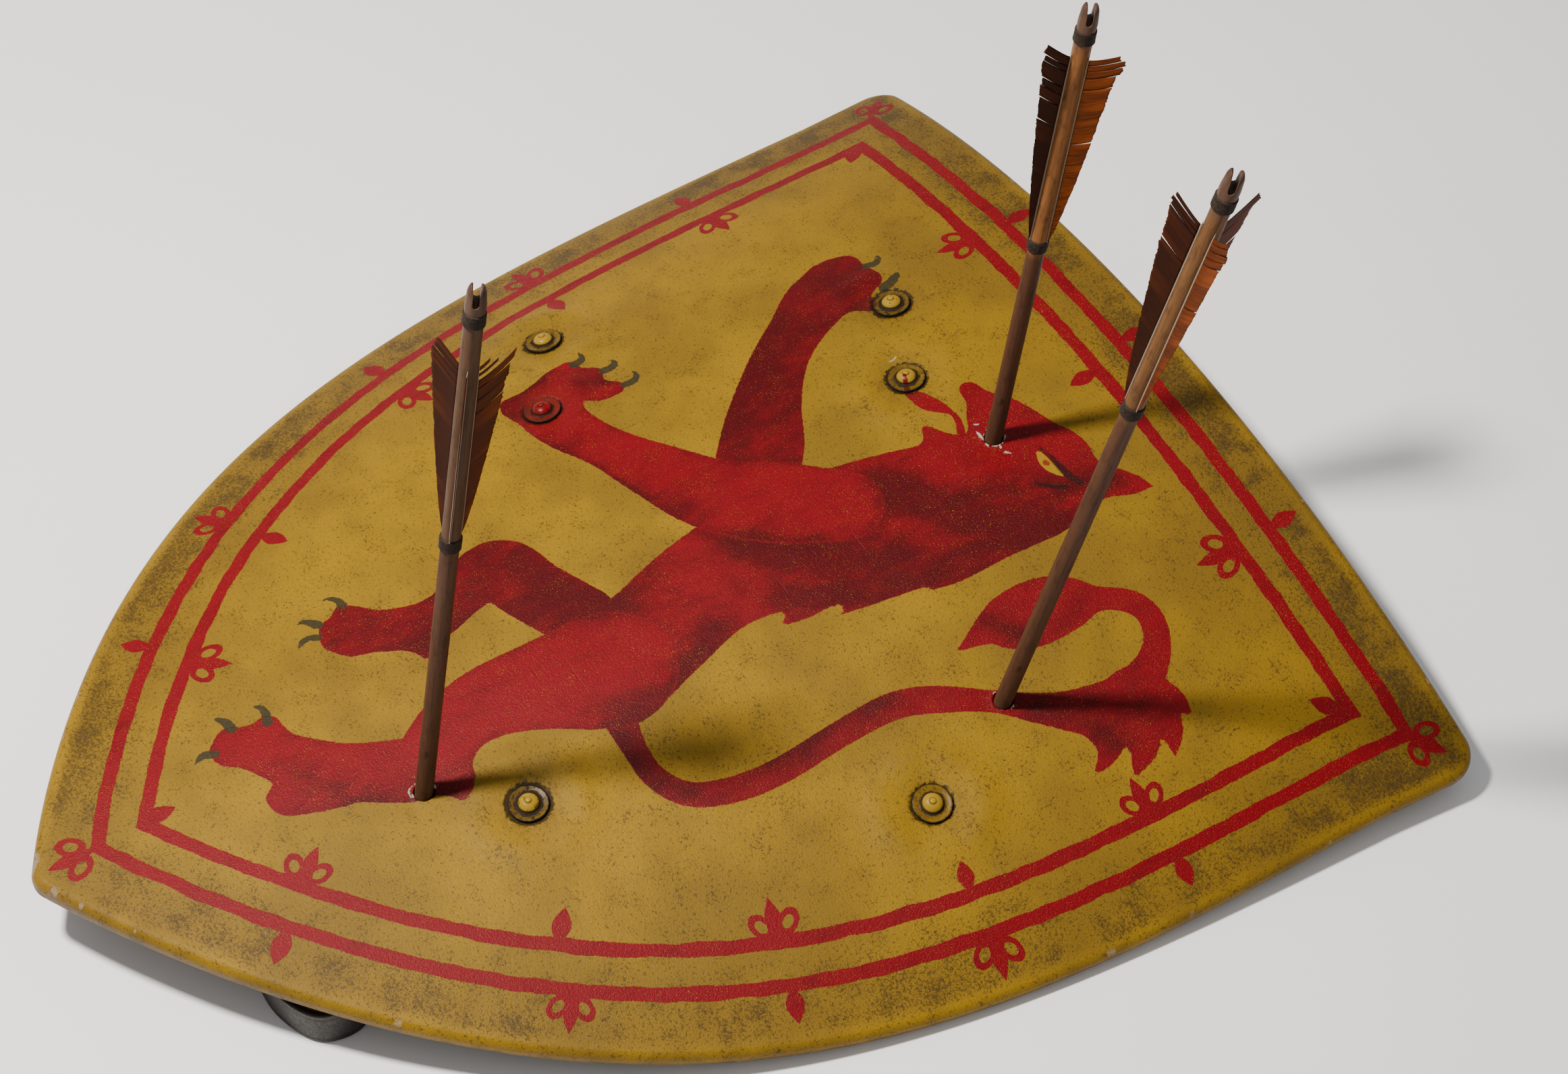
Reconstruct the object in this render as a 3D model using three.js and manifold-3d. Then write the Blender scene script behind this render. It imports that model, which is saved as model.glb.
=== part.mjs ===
import * as THREE from 'three';
import { mergeVertices } from 'three/addons/utils/BufferGeometryUtils.js';
import Module from 'manifold-3d';

const wasm = await Module();
wasm.setup();

// A heater shield lying face up on its two side edges, with three arrows through it.
// Millimetres and degrees. The face is worked out flat, with t across it, s from the
// tip to the top edge and n out of the painted face, and is then bent round one cylinder.

// Outline of the flat face
const shieldLength = 690;
const shoulderHalfWidth = 311.3;
const shoulderHeight = 626;
const sideBulge = 3.26;
const sideFullness = 0.935;
const topFlare = 0.0566;
const tipRadius = 12;
const topCornerRadius = 18;
const bendRadius = 749;

// Layers from the face to the back
const coverThickness = 1.8;
const boardThickness = 8.8;
const edgeRounding = 5;
const turnedMargin = 24;
const fitGap = 0.3;
const backGap = 0.7;

// How it lies: the back rim is worn flat where it touches the ground
const restPitch = 3.15;
const rimWear = 0.6;
const groundGap = 0.5;

// Rivets, with a washer let into the face and a burr on the strap behind
const shankRadius = 2.4;
const headRadius = 5.6;
const headHeight = 2.7;
const nubRadius = 1.6;
const nubHeight = 0.8;
const washerRadius = 10.8;
const washerThickness = 1.5;
const dimpleDepth = 0.8;
const dimpleMargin = 1.6;
const burrRadius = 7.5;
const burrThickness = 1.2;
const tailRadius = 4.2;
const tailHeight = 2;

// Straps
const armStrapWidth = 32;
const armStrapThickness = 4;
const armStrapTail = 18;
const elbowStrapBow = 36;
const handStrapBow = 40;
const neckStrapWidth = 24;
const neckStrapThickness = 3.2;
const neckStrapTail = 20;

// Rivet places on the flat face
const elbowRivets = [{ t: -148, s: 371 }, { t: 92, s: 238.5 }];
const handRivets = [{ t: -45, s: 549 }, { t: 194, s: 419 }];
const neckRivets = [{ t: -207, s: 400 }, { t: -102, s: 573.5 }];

// Arrows: one make, each with its own hole, lean and length outside the face
const shaftRadius = 4.75;
const holeMargin = 1.9;
const bindingThickness = 0.7;
const frontBindingLength = 15;
const rearBindingLength = 9;
const bindingSpan = 141;
const nockLength = 20;
const nockSlotWidth = 3.2;
const nockSlotDepth = 9;
const featherThickness = 0.9;
const featherHeight = 17;
const featherSweep = 13;
const headLength = 42;
const headInset = 6;
const socketRadius = 6;
const socketDepth = 16;
const tenonRadius = 3.4;
const spikeWidth = 7;
const arrowPlaces = [
  { name: 'upper_arrow', t: 19, s: 566, lean: [0.042, 0.174, 0.984], outside: 309, turn: 20 },
  { name: 'lower_arrow', t: 162, s: 482, lean: [0.121, 0.248, 0.961], outside: 395, turn: 95 },
  { name: 'tip_arrow', t: 58.5, s: 195.5, lean: [-0.02, 0.244, 0.97], outside: 340, turn: -35 },
];

// Steps along curves
const tipSteps = 2;
const sideSteps = 9;
const cornerSteps = 3;
const acrossSteps = 18;
const roundSteps = 2;
const ringSides = 10;
const strapSteps = 16;
const neckStrapSteps = 58;

const leatherYellow = new THREE.MeshStandardMaterial({ color: 0xb08c2c, roughness: 0.45 });
const poplarWood = new THREE.MeshStandardMaterial({ color: 0x9a7a52, roughness: 0.8 });
const darkLeather = new THREE.MeshStandardMaterial({ color: 0x2a211c, roughness: 0.5 });
const paintedIron = new THREE.MeshStandardMaterial({ color: 0xa5832f, roughness: 0.4, metalness: 0.3 });
const bareIron = new THREE.MeshStandardMaterial({ color: 0x55504a, roughness: 0.5, metalness: 0.9 });
const shaftWood = new THREE.MeshStandardMaterial({ color: 0x7d5b49, roughness: 0.6 });
const feather = new THREE.MeshStandardMaterial({ color: 0x5a3018, roughness: 0.8, side: THREE.DoubleSide });
const thread = new THREE.MeshStandardMaterial({ color: 0x3a2c24, roughness: 0.9 });

const totalThickness = 2 * coverThickness + boardThickness + fitGap + backGap;
const boardBack = -(coverThickness + fitGap + boardThickness);
const strapFace = boardBack - fitGap;

// Mesh from loose triangles, its corners merged and its faces pointing out
function closedMesh(triangles) {
  const raw = new THREE.BufferGeometry();
  raw.setAttribute('position', new THREE.BufferAttribute(new Float32Array(triangles), 3));
  return outward(mergeVertices(raw, 1e-4));
}

function outward(geometry) {
  const p = geometry.attributes.position;
  const index = geometry.index.array;
  const kept = [];
  let volume = 0;
  const [a, b, c] = [new THREE.Vector3(), new THREE.Vector3(), new THREE.Vector3()];
  for (let i = 0; i < index.length; i += 3) {
    const [u, v, w] = [index[i], index[i + 1], index[i + 2]];
    if (u === v || v === w || w === u) continue;
    kept.push(u, v, w);
    volume += a.fromBufferAttribute(p, u).dot(b.fromBufferAttribute(p, v).cross(c.fromBufferAttribute(p, w)));
  }
  if (volume < 0) for (let i = 0; i < kept.length; i += 3) [kept[i], kept[i + 1]] = [kept[i + 1], kept[i]];
  geometry.setIndex(kept);
  return geometry;
}

function toSolid(geometry) {
  let merged = geometry.clone();
  for (const name of Object.keys(merged.attributes)) if (name !== 'position') merged.deleteAttribute(name);
  merged = outward(mergeVertices(merged, 1e-4));
  return new wasm.Manifold(new wasm.Mesh({
    numProp: 3,
    vertProperties: new Float32Array(merged.attributes.position.array),
    triVerts: new Uint32Array(merged.index.array),
  }));
}

function toGeometry(solid) {
  const { vertProperties, triVerts } = solid.getMesh();
  const geometry = new THREE.BufferGeometry();
  geometry.setAttribute('position', new THREE.BufferAttribute(new Float32Array(vertProperties), 3));
  geometry.setIndex(new THREE.BufferAttribute(new Uint32Array(triVerts), 1));
  geometry.computeVertexNormals();
  return geometry;
}

function cut(geometry, tools) {
  let solid = toSolid(geometry);
  for (const tool of tools) solid = solid.subtract(toSolid(tool));
  return toGeometry(solid);
}

// Bends a flat point onto the cylinder
function bent({ t, s }, n) {
  const angle = t / bendRadius;
  const r = bendRadius + n;
  return new THREE.Vector3(r * Math.sin(angle), s, r * Math.cos(angle) - bendRadius);
}

function faceNormal({ t }) {
  const angle = t / bendRadius;
  return new THREE.Vector3(Math.sin(angle), 0, Math.cos(angle));
}

// Half width of the sharp-cornered outline at height s
function halfWidth(s) {
  const below = Math.max(0, 1 - s / shoulderHeight);
  const swell = shoulderHalfWidth * Math.pow(1 - Math.pow(below, sideBulge), sideFullness);
  return swell + topFlare * Math.max(0, s - shoulderHeight);
}

// Point of the right side moved inwards by a distance, with its outward normal
function sidePoint(s, inset) {
  const h = 0.01;
  const slope = (halfWidth(s + h) - halfWidth(s)) / h;
  const length = Math.hypot(1, slope);
  const normal = { t: 1 / length, s: -slope / length };
  return { t: halfWidth(s) - inset * normal.t, s: s - inset * normal.s, normal };
}

function solveHeight(test) {
  let low = 0.001;
  let high = shieldLength;
  for (let i = 0; i < 50; i++) {
    const middle = (low + high) / 2;
    if (test(middle) < 0) low = middle; else high = middle;
  }
  return (low + high) / 2;
}

// Right side from the tip to the top edge, moved inwards by a distance, with both
// corners rounded by what is left of their radius
function rightSide(inset) {
  const tip = Math.max(tipRadius - inset, 1);
  const corner = Math.max(topCornerRadius - inset, 1);
  const low = solveHeight((s) => sidePoint(s, inset + tip).t);
  const high = solveHeight((s) => sidePoint(s, inset + corner).s - (shieldLength - inset - corner));
  const points = [];
  const arc = (centre, radius, from, to, steps, first) => {
    for (let i = first; i <= steps; i++) {
      const angle = from + (to - from) * i / steps;
      points.push({ t: centre.t + radius * Math.cos(angle), s: centre.s + radius * Math.sin(angle) });
    }
  };
  const tipNormal = sidePoint(low, 0).normal;
  arc({ t: 0, s: sidePoint(low, inset + tip).s }, tip, -Math.PI / 2, Math.atan2(tipNormal.s, tipNormal.t), tipSteps, 0);
  points[0].t = 0;
  for (let i = 1; i < sideSteps; i++) {
    const share = i / sideSteps;
    points.push(sidePoint(low + (high - low) * share * (0.55 + 0.45 * share), inset));
  }
  const topNormal = sidePoint(high, 0).normal;
  const centre = sidePoint(high, inset + corner);
  arc(centre, corner, Math.atan2(topNormal.s, topNormal.t), Math.PI / 2, cornerSteps, 0);
  return points;
}

// Rows of points over the whole outline at one depth
function sheetRows({ inset, n }) {
  return rightSide(inset).map(({ t, s }) => Array.from({ length: acrossSteps + 1 },
    (_, i) => bent({ t: t * (2 * i / acrossSteps - 1), s }, n)));
}

function rimOf(rows) {
  const right = rows.slice(1).map((row) => row[acrossSteps]);
  const top = rows[rows.length - 1].slice(1, acrossSteps).reverse();
  const left = rows.slice(1).map((row) => row[0]).reverse();
  return [rows[0][0], ...right, ...top, ...left];
}

// Closed solid whose skin runs from a front sheet, round the rim, to a back sheet
function layeredSolid(layers) {
  const triangles = [];
  const add = (...points) => points.forEach((p) => triangles.push(p.x, p.y, p.z));
  const addSheet = (rows, turned) => {
    for (let j = 0; j < rows.length - 1; j++) {
      for (let i = 0; i < acrossSteps; i++) {
        const [a, b, c, d] = [rows[j][i], rows[j][i + 1], rows[j + 1][i + 1], rows[j + 1][i]];
        if (turned) add(a, c, b, a, d, c); else add(a, b, c, a, c, d);
      }
    }
  };
  const sheets = layers.map(sheetRows);
  addSheet(sheets[0], false);
  addSheet(sheets[sheets.length - 1], true);
  for (let k = 0; k < sheets.length - 1; k++) {
    const [upper, lower] = [rimOf(sheets[k]), rimOf(sheets[k + 1])];
    for (let i = 0; i < upper.length; i++) {
      const j = (i + 1) % upper.length;
      add(upper[i], lower[i], lower[j], upper[i], lower[j], upper[j]);
    }
  }
  return closedMesh(triangles);
}

// Layers of a rounded rim between two depths
function roundedRim(inset, radius, top, bottom) {
  const layers = [];
  for (let i = 0; i <= roundSteps; i++) {
    const angle = Math.PI / 2 * i / roundSteps;
    layers.push({ inset: inset + radius * (1 - Math.sin(angle)), n: top - radius * (1 - Math.cos(angle)) });
  }
  for (let i = roundSteps; i >= 0; i--) {
    const angle = Math.PI / 2 * i / roundSteps;
    layers.push({ inset: inset + radius * (1 - Math.sin(angle)), n: bottom + radius * (1 - Math.cos(angle)) });
  }
  return layers;
}

// Cylinder along a direction through a point, from one distance to another
function rod(centre, direction, radius, from, to, sides = ringSides) {
  const geometry = new THREE.CylinderGeometry(radius, radius, to - from, sides);
  geometry.translate(0, (from + to) / 2, 0);
  geometry.applyQuaternion(new THREE.Quaternion().setFromUnitVectors(new THREE.Vector3(0, 1, 0), direction));
  return geometry.translate(centre.x, centre.y, centre.z);
}

const rivets = [
  { name: 'elbow_rivet_upper', place: elbowRivets[0] }, { name: 'elbow_rivet_lower', place: elbowRivets[1] },
  { name: 'hand_rivet_upper', place: handRivets[0] }, { name: 'hand_rivet_lower', place: handRivets[1] },
  { name: 'neck_rivet_lower', place: neckRivets[0] }, { name: 'neck_rivet_upper', place: neckRivets[1] },
];
const arrows = arrowPlaces.map((arrow) => ({
  ...arrow, foot: bent(arrow, 0), direction: new THREE.Vector3(...arrow.lean).normalize(),
}));
const through = totalThickness * 3;

function shankHoles(radius) {
  return rivets.map(({ place }) => rod(bent(place, 0), faceNormal(place), radius, -through, through));
}

function arrowHoles(radius) {
  return arrows.map(({ foot, direction }) => rod(foot, direction, radius, -through, through));
}

// Painted hide: the face, the rim and a margin turned onto the back
function paintedCover() {
  const outside = roundedRim(0, edgeRounding, 0, -totalThickness);
  const inside = roundedRim(coverThickness, edgeRounding - coverThickness, -coverThickness,
    coverThickness - totalThickness).reverse();
  const margin = [-totalThickness, coverThickness - totalThickness].map((n) => ({ inset: turnedMargin, n }));
  const skin = layeredSolid([...outside, ...margin, ...inside]);
  const dimples = rivets.map(({ place }) => rod(bent(place, 0), faceNormal(place),
    washerRadius + dimpleMargin, -dimpleDepth, through, 2 * ringSides));
  return cut(skin, [...dimples, ...shankHoles(shankRadius + fitGap), ...arrowHoles(shaftRadius + holeMargin)]);
}

function board() {
  const inset = coverThickness + fitGap;
  const slab = layeredSolid(roundedRim(inset, edgeRounding - inset, -inset, boardBack));
  return cut(slab, [...shankHoles(shankRadius + fitGap), ...arrowHoles(socketRadius + fitGap)]);
}

// Solid turned round the Z axis from radius and height pairs
function turned(profile, sides = ringSides) {
  const points = profile.map(([radius, height]) => new THREE.Vector2(radius, height));
  const geometry = new THREE.LatheGeometry(points, sides);
  geometry.rotateX(Math.PI / 2);
  return toGeometry(toSolid(geometry));
}

function ringProfile(inner, outer, bottom, top, round = 0) {
  return [[inner, bottom], [outer, bottom], [outer, top - round], [outer - 1.5 * round, top], [inner, top],
    [inner, bottom]];
}

const washerSeat = fitGap - dimpleDepth;
const headSeat = washerSeat + washerThickness + fitGap;

function rivetShape(strapThickness) {
  const seat = strapFace - strapThickness - 2 * fitGap - burrThickness;
  return turned([
    [0, headSeat + headHeight + nubHeight], [nubRadius, headSeat + headHeight + nubHeight],
    [nubRadius + 0.5, headSeat + headHeight - 0.1], [headRadius * 0.62, headSeat + headHeight * 0.82],
    [headRadius * 0.88, headSeat + headHeight * 0.5], [headRadius, headSeat + headHeight * 0.12],
    [headRadius, headSeat], [shankRadius, headSeat], [shankRadius, seat], [tailRadius, seat],
    [tailRadius * 0.8, seat - tailHeight * 0.7], [0, seat - tailHeight],
  ]);
}

function washerShape() {
  return turned(ringProfile(shankRadius + fitGap, washerRadius, washerSeat, washerSeat + washerThickness, 0.5));
}

function burrShape(strapThickness) {
  const top = strapFace - strapThickness - fitGap;
  return turned(ringProfile(shankRadius + fitGap, burrRadius, top - burrThickness, top));
}

// Closed band through section corners worked out for each share of its length
function band(steps, corners) {
  const rings = Array.from({ length: steps + 1 }, (_, i) => corners(i / steps));
  const triangles = [];
  const add = (...points) => points.forEach((p) => triangles.push(p.x, p.y, p.z));
  for (let i = 0; i < steps; i++) {
    for (let k = 0; k < 4; k++) {
      const m = (k + 1) % 4;
      add(rings[i][k], rings[i][m], rings[i + 1][m], rings[i][k], rings[i + 1][m], rings[i + 1][k]);
    }
  }
  for (const [ring, last] of [[rings[0], false], [rings[steps], true]]) {
    const [a, b, c, d] = ring;
    if (last) add(a, b, c, a, c, d); else add(a, c, b, a, d, c);
  }
  return closedMesh(triangles);
}

// Arm strap riveted at both ends, standing off the board in between
function armStrap([start, end], bow) {
  const span = Math.hypot(end.t - start.t, end.s - start.s);
  const along = { t: (end.t - start.t) / span, s: (end.s - start.s) / span };
  const across = { t: -along.s, s: along.t };
  const length = span + 2 * armStrapTail;
  const strap = band(strapSteps, (share) => {
    const distance = share * length - armStrapTail;
    const rise = THREE.MathUtils.clamp((distance - armStrapTail) / (span - 2 * armStrapTail), 0, 1);
    const off = strapFace - bow * Math.pow(Math.sin(Math.PI * rise), 1.3);
    const fromEnd = Math.min(distance + armStrapTail, length - distance - armStrapTail);
    const half = armStrapWidth / 2 * Math.min(1, 0.55 + 0.45 * fromEnd / (armStrapTail * 0.7));
    const at = (side, n) => bent({
      t: start.t + along.t * distance + across.t * side, s: start.s + along.s * distance + across.s * side,
    }, n);
    const inner = off - armStrapThickness;
    return [at(-half, off), at(half, off), at(half, inner), at(-half, inner)];
  });
  const holes = [start, end].map((place) => rod(bent(place, 0), faceNormal(place), shankRadius + fitGap,
    -through, through));
  return cut(strap, holes);
}

// The lying shield: turned by its pitch and lifted so that the worn rim meets the ground
const pitch = THREE.MathUtils.degToRad(restPitch);
const pitched = new THREE.Matrix4().makeRotationX(pitch);
const wholeCover = paintedCover();
const coverBox = new THREE.Box3().setFromBufferAttribute(wholeCover.clone().applyMatrix4(pitched).attributes.position);
const lift = -(coverBox.min.z + rimWear);
const lying = new THREE.Matrix4().makeTranslation(0, 0, lift).multiply(pitched);

function wornRim(cover) {
  const slab = new THREE.BoxGeometry(3 * shieldLength, 3 * shieldLength, 2 * shieldLength);
  slab.translate(0, 0, -shieldLength).applyMatrix4(lying.clone().invert());
  return cut(cover, [slab]);
}

// Neck strap: flat along the board at its rivets, then down to the ground, where it lies
// flat and turns on edge for the loop that comes out under the right rim near the tip
const onBoard = strapFace - fitGap - neckStrapThickness / 2;

function boardStep(rivet, down, away = 0, drop = 0) {
  const place = { t: rivet.t + away, s: rivet.s - down };
  return { point: bent(place, onBoard - drop).applyMatrix4(lying), up: faceNormal(place), stand: 0 };
}

function groundStep(x, y, stand, height = 0) {
  return { point: new THREE.Vector3(x, y, height), up: new THREE.Vector3(0, 0, 1), stand };
}

const neckRoute = [
  boardStep(neckRivets[0], -neckStrapTail), boardStep(neckRivets[0], 0), boardStep(neckRivets[0], 22, 0, 0.6),
  boardStep(neckRivets[0], 55, 3, 5), groundStep(-197, 300, 0, 9), groundStep(-188, 258, 0),
  groundStep(-172, 215, 0.1), groundStep(-142, 176, 0.5), groundStep(-98, 143, 1), groundStep(-38, 116, 1),
  groundStep(30, 94, 1), groundStep(90, 78, 1), groundStep(134, 73, 1), groundStep(159, 84, 1),
  groundStep(149, 104, 1), groundStep(110, 114, 1), groundStep(58, 124, 1), groundStep(2, 141, 1),
  groundStep(-44, 170, 0.75), groundStep(-76, 208, 0.3), groundStep(-95, 255, 0), groundStep(-106, 310, 0),
  groundStep(-112, 370, 0), groundStep(-113, 425, 0, 5), groundStep(-111, 472, 0, 20),
  boardStep(neckRivets[1], 58, -6, 9), boardStep(neckRivets[1], 24, -2, 0.8),
  boardStep(neckRivets[1], 0), boardStep(neckRivets[1], -neckStrapTail),
];

function neckStrap() {
  const curve = new THREE.CatmullRomCurve3(neckRoute.map(({ point }) => point), false, 'centripetal');
  const strap = band(neckStrapSteps, (share) => {
    const place = share * (neckRoute.length - 1);
    const first = Math.min(Math.floor(place), neckRoute.length - 2);
    const [a, b] = [neckRoute[first], neckRoute[first + 1]];
    const centre = curve.getPoint(share);
    const along = curve.getTangent(share);
    const up = a.up.clone().lerp(b.up, place - first);
    const across = new THREE.Vector3().crossVectors(up, along).normalize();
    const stand = THREE.MathUtils.smoothstep(place - first, 0, 1) * (b.stand - a.stand) + a.stand;
    across.applyAxisAngle(along, Math.PI / 2 * stand);
    const normal = new THREE.Vector3().crossVectors(along, across).normalize();
    const rise = (Math.abs(across.z) * neckStrapWidth + Math.abs(normal.z) * neckStrapThickness) / 2;
    centre.z = Math.max(centre.z, groundGap + rise);
    const corner = (side, face) => centre.clone().addScaledVector(across, side * neckStrapWidth / 2)
      .addScaledVector(normal, face * neckStrapThickness / 2);
    return [corner(-1, 1), corner(1, 1), corner(1, -1), corner(-1, -1)];
  });
  const holes = neckRivets.map((place) => rod(bent(place, 0), faceNormal(place), shankRadius + fitGap,
    -through, through).applyMatrix4(lying));
  return cut(strap, holes);
}

// Arrow along +Z, with the face of the shield at zero
function arrowShaft(outside) {
  const bottom = -headInset;
  const shaft = turned([
    [0, bottom - socketDepth + fitGap], [tenonRadius * 0.6, bottom - socketDepth + fitGap],
    [tenonRadius, bottom], [shaftRadius, bottom], [shaftRadius, outside - 0.8], [shaftRadius - 0.8, outside],
    [0, outside],
  ]);
  const slot = new THREE.BoxGeometry(3 * shaftRadius, nockSlotWidth, 2 * nockSlotDepth).translate(0, 0, outside);
  return cut(shaft, [slot]);
}

function arrowBinding(middle, length) {
  const inner = shaftRadius + fitGap;
  const outer = inner + bindingThickness;
  return turned(ringProfile(inner, outer, middle - length / 2, middle + length / 2, 0.3));
}

// Feather on the +X side of the shaft, rising from the front binding and cut with a swept end
function arrowFeather(front, back) {
  const root = shaftRadius + fitGap;
  const length = back - front;
  const shape = new THREE.Shape();
  shape.moveTo(root, front);
  for (let i = 1; i <= 6; i++) {
    const share = i / 6;
    shape.lineTo(root + featherHeight * Math.pow(share, 0.62), front + share * (length - 4));
  }
  shape.lineTo(root + featherHeight * 0.86, back + featherSweep * 0.8);
  shape.lineTo(root + featherHeight * 0.62, back + featherSweep);
  shape.lineTo(root + featherHeight * 0.3, back + featherSweep * 0.25);
  shape.lineTo(root + bindingThickness + fitGap, back);
  shape.lineTo(root, back);
  const geometry = new THREE.ExtrudeGeometry(shape, { depth: featherThickness, bevelEnabled: false });
  geometry.translate(0, 0, -featherThickness / 2).rotateX(Math.PI / 2);
  return toGeometry(toSolid(geometry));
}

// Iron head: a round socket that draws in to a square spike
function arrowHead() {
  const mouth = -headInset - fitGap;
  const rings = [
    { z: mouth - socketDepth, r: 0, square: 0 }, { z: mouth - socketDepth, r: tenonRadius * 0.6 + fitGap, square: 0 },
    { z: mouth, r: tenonRadius + fitGap, square: 0 }, { z: mouth, r: socketRadius, square: 0 },
    { z: mouth - socketDepth, r: socketRadius * 0.72, square: 0 },
    { z: mouth - socketDepth - 3, r: spikeWidth / 2, square: 1 },
    { z: mouth - socketDepth - 7, r: spikeWidth / 2 + 0.4, square: 1 },
    { z: mouth - headLength, r: 0, square: 0 },
  ];
  const sides = 8;
  const points = rings.map(({ z, r, square }) => Array.from({ length: sides }, (_, i) => {
    const angle = 2 * Math.PI * i / sides;
    const reach = square ? r / Math.max(Math.abs(Math.cos(angle)), Math.abs(Math.sin(angle))) : r;
    return new THREE.Vector3(reach * Math.cos(angle), reach * Math.sin(angle), z);
  }));
  const triangles = [];
  const add = (...corners) => corners.forEach((p) => triangles.push(p.x, p.y, p.z));
  for (let j = 0; j < points.length - 1; j++) {
    for (let i = 0; i < sides; i++) {
      const k = (i + 1) % sides;
      add(points[j][i], points[j][k], points[j + 1][k], points[j][i], points[j + 1][k], points[j + 1][i]);
    }
  }
  return toGeometry(toSolid(closedMesh(triangles)));
}

function mesh(name, geometry, material) {
  const piece = new THREE.Mesh(geometry, material);
  piece.name = name;
  return piece;
}

function rivetSet({ name, place }, strapThickness) {
  const set = new THREE.Group();
  set.position.copy(bent(place, 0));
  set.rotation.y = place.t / bendRadius;
  set.add(mesh(name, rivetShape(strapThickness), paintedIron));
  set.add(mesh(`${name}_washer`, washerShape(), paintedIron));
  set.add(mesh(`${name}_burr`, burrShape(strapThickness), bareIron));
  return set;
}

function arrowSet({ name, foot, direction, outside, turn }) {
  const set = new THREE.Group();
  set.position.copy(foot);
  set.quaternion.setFromUnitVectors(new THREE.Vector3(0, 0, 1), direction);
  const rear = outside - nockLength;
  const front = rear - bindingSpan;
  set.add(mesh(`${name}_shaft`, arrowShaft(outside), shaftWood));
  set.add(mesh(`${name}_front_binding`, arrowBinding(front, frontBindingLength), thread));
  set.add(mesh(`${name}_rear_binding`, arrowBinding(rear, rearBindingLength), thread));
  set.add(mesh(`${name}_head`, arrowHead(), bareIron));
  const plumes = new THREE.Group();
  plumes.rotation.z = THREE.MathUtils.degToRad(turn);
  for (let i = 0; i < 3; i++) {
    const plume = mesh(`${name}_feather_${i + 1}`, arrowFeather(front + frontBindingLength / 2 + fitGap,
      rear - rearBindingLength / 2 - fitGap), feather);
    plume.rotation.z = 2 * Math.PI * i / 3;
    plumes.add(plume);
  }
  set.add(plumes);
  return set;
}

const shield = new THREE.Group();
shield.rotation.x = pitch;
shield.position.z = lift;
shield.add(mesh('shield_board', board(), poplarWood));
shield.add(mesh('painted_cover', wornRim(wholeCover), leatherYellow));
shield.add(mesh('elbow_strap', armStrap(elbowRivets, elbowStrapBow), darkLeather));
shield.add(mesh('hand_strap', armStrap(handRivets, handStrapBow), darkLeather));
for (const rivet of rivets) {
  const onNeckStrap = neckRivets.includes(rivet.place);
  shield.add(rivetSet(rivet, onNeckStrap ? neckStrapThickness + 2 * fitGap : armStrapThickness));
}
for (const arrow of arrows) shield.add(arrowSet(arrow));

const heaterShield = new THREE.Group();
heaterShield.add(shield, mesh('neck_strap', neckStrap(), darkLeather));
heaterShield.updateMatrixWorld(true);
const wholeBox = new THREE.Box3().setFromObject(heaterShield, true);
heaterShield.position.y = -(wholeBox.min.y + wholeBox.max.y) / 2;
heaterShield.position.x = -(wholeBox.min.x + wholeBox.max.x) / 2;

export default heaterShield;
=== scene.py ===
import math
import bmesh
import bpy
import numpy as np
from mathutils import Matrix


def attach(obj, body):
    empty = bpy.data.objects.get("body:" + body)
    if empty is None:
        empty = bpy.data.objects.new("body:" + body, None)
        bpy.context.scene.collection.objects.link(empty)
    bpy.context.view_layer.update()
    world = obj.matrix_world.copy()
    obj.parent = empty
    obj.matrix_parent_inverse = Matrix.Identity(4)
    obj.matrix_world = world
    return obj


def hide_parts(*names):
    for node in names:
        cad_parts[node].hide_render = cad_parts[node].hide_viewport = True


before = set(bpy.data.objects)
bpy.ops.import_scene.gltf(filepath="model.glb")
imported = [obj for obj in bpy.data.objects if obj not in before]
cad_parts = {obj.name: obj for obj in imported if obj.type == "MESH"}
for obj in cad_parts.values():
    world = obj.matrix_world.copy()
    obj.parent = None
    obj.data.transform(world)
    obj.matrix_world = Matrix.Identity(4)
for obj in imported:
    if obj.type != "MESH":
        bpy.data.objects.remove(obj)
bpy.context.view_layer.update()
print("frame loaded with", len(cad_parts), "nodes")

# The face is worked out flat in millimetres, with t across it, s from the tip up and n out
# of it. It is then bent round a cylinder, pitched and set down. Meshes are made in metres.
millimetre = 0.001
shield = {
    "length": 690, "shoulderHalfWidth": 311.3, "shoulderHeight": 626, "sideBulge": 3.26,
    "sideFullness": 0.935, "topFlare": 0.0566, "tipRadius": 12, "topCornerRadius": 18,
    "bendRadius": 749, "pitch": 3.15, "lift": 47.1675, "shift": -347.033,
    "coverThickness": 1.8, "boardThickness": 8.8, "totalThickness": 13.4,
    "edgeRounding": 5, "turnedMargin": 24, "fitGap": 0.3,
}


def smoothStep(low, high, x):  # 0 below low and 1 above high, 3h² - 2h³ in between
    share = np.clip((x - low) / (high - low), 0, 1)
    return share * share * (3 - 2 * share)


def softNoise(x, y, size, seed):  # random heights on a square lattice, eased between its points
    lattice = np.random.default_rng(seed).uniform(-1, 1, (61, 61))
    u, v = np.asarray(x) / size, np.asarray(y) / size
    i, j = np.floor(u).astype(int), np.floor(v).astype(int)
    a, b = smoothStep(0, 1, u - i), smoothStep(0, 1, v - j)
    low = lattice[i % 61, j % 61] * (1 - a) + lattice[(i + 1) % 61, j % 61] * a
    high = lattice[i % 61, (j + 1) % 61] * (1 - a) + lattice[(i + 1) % 61, (j + 1) % 61] * a
    return low * (1 - b) + high * b


def turnDown(p):  # a direction of the upright shield turned about X by the pitch
    x, y, z = np.moveaxis(np.asarray(p, float), -1, 0)
    angle = math.radians(shield["pitch"])
    return np.stack([x, y * math.cos(angle) - z * math.sin(angle),
                     y * math.sin(angle) + z * math.cos(angle)], -1)


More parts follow.
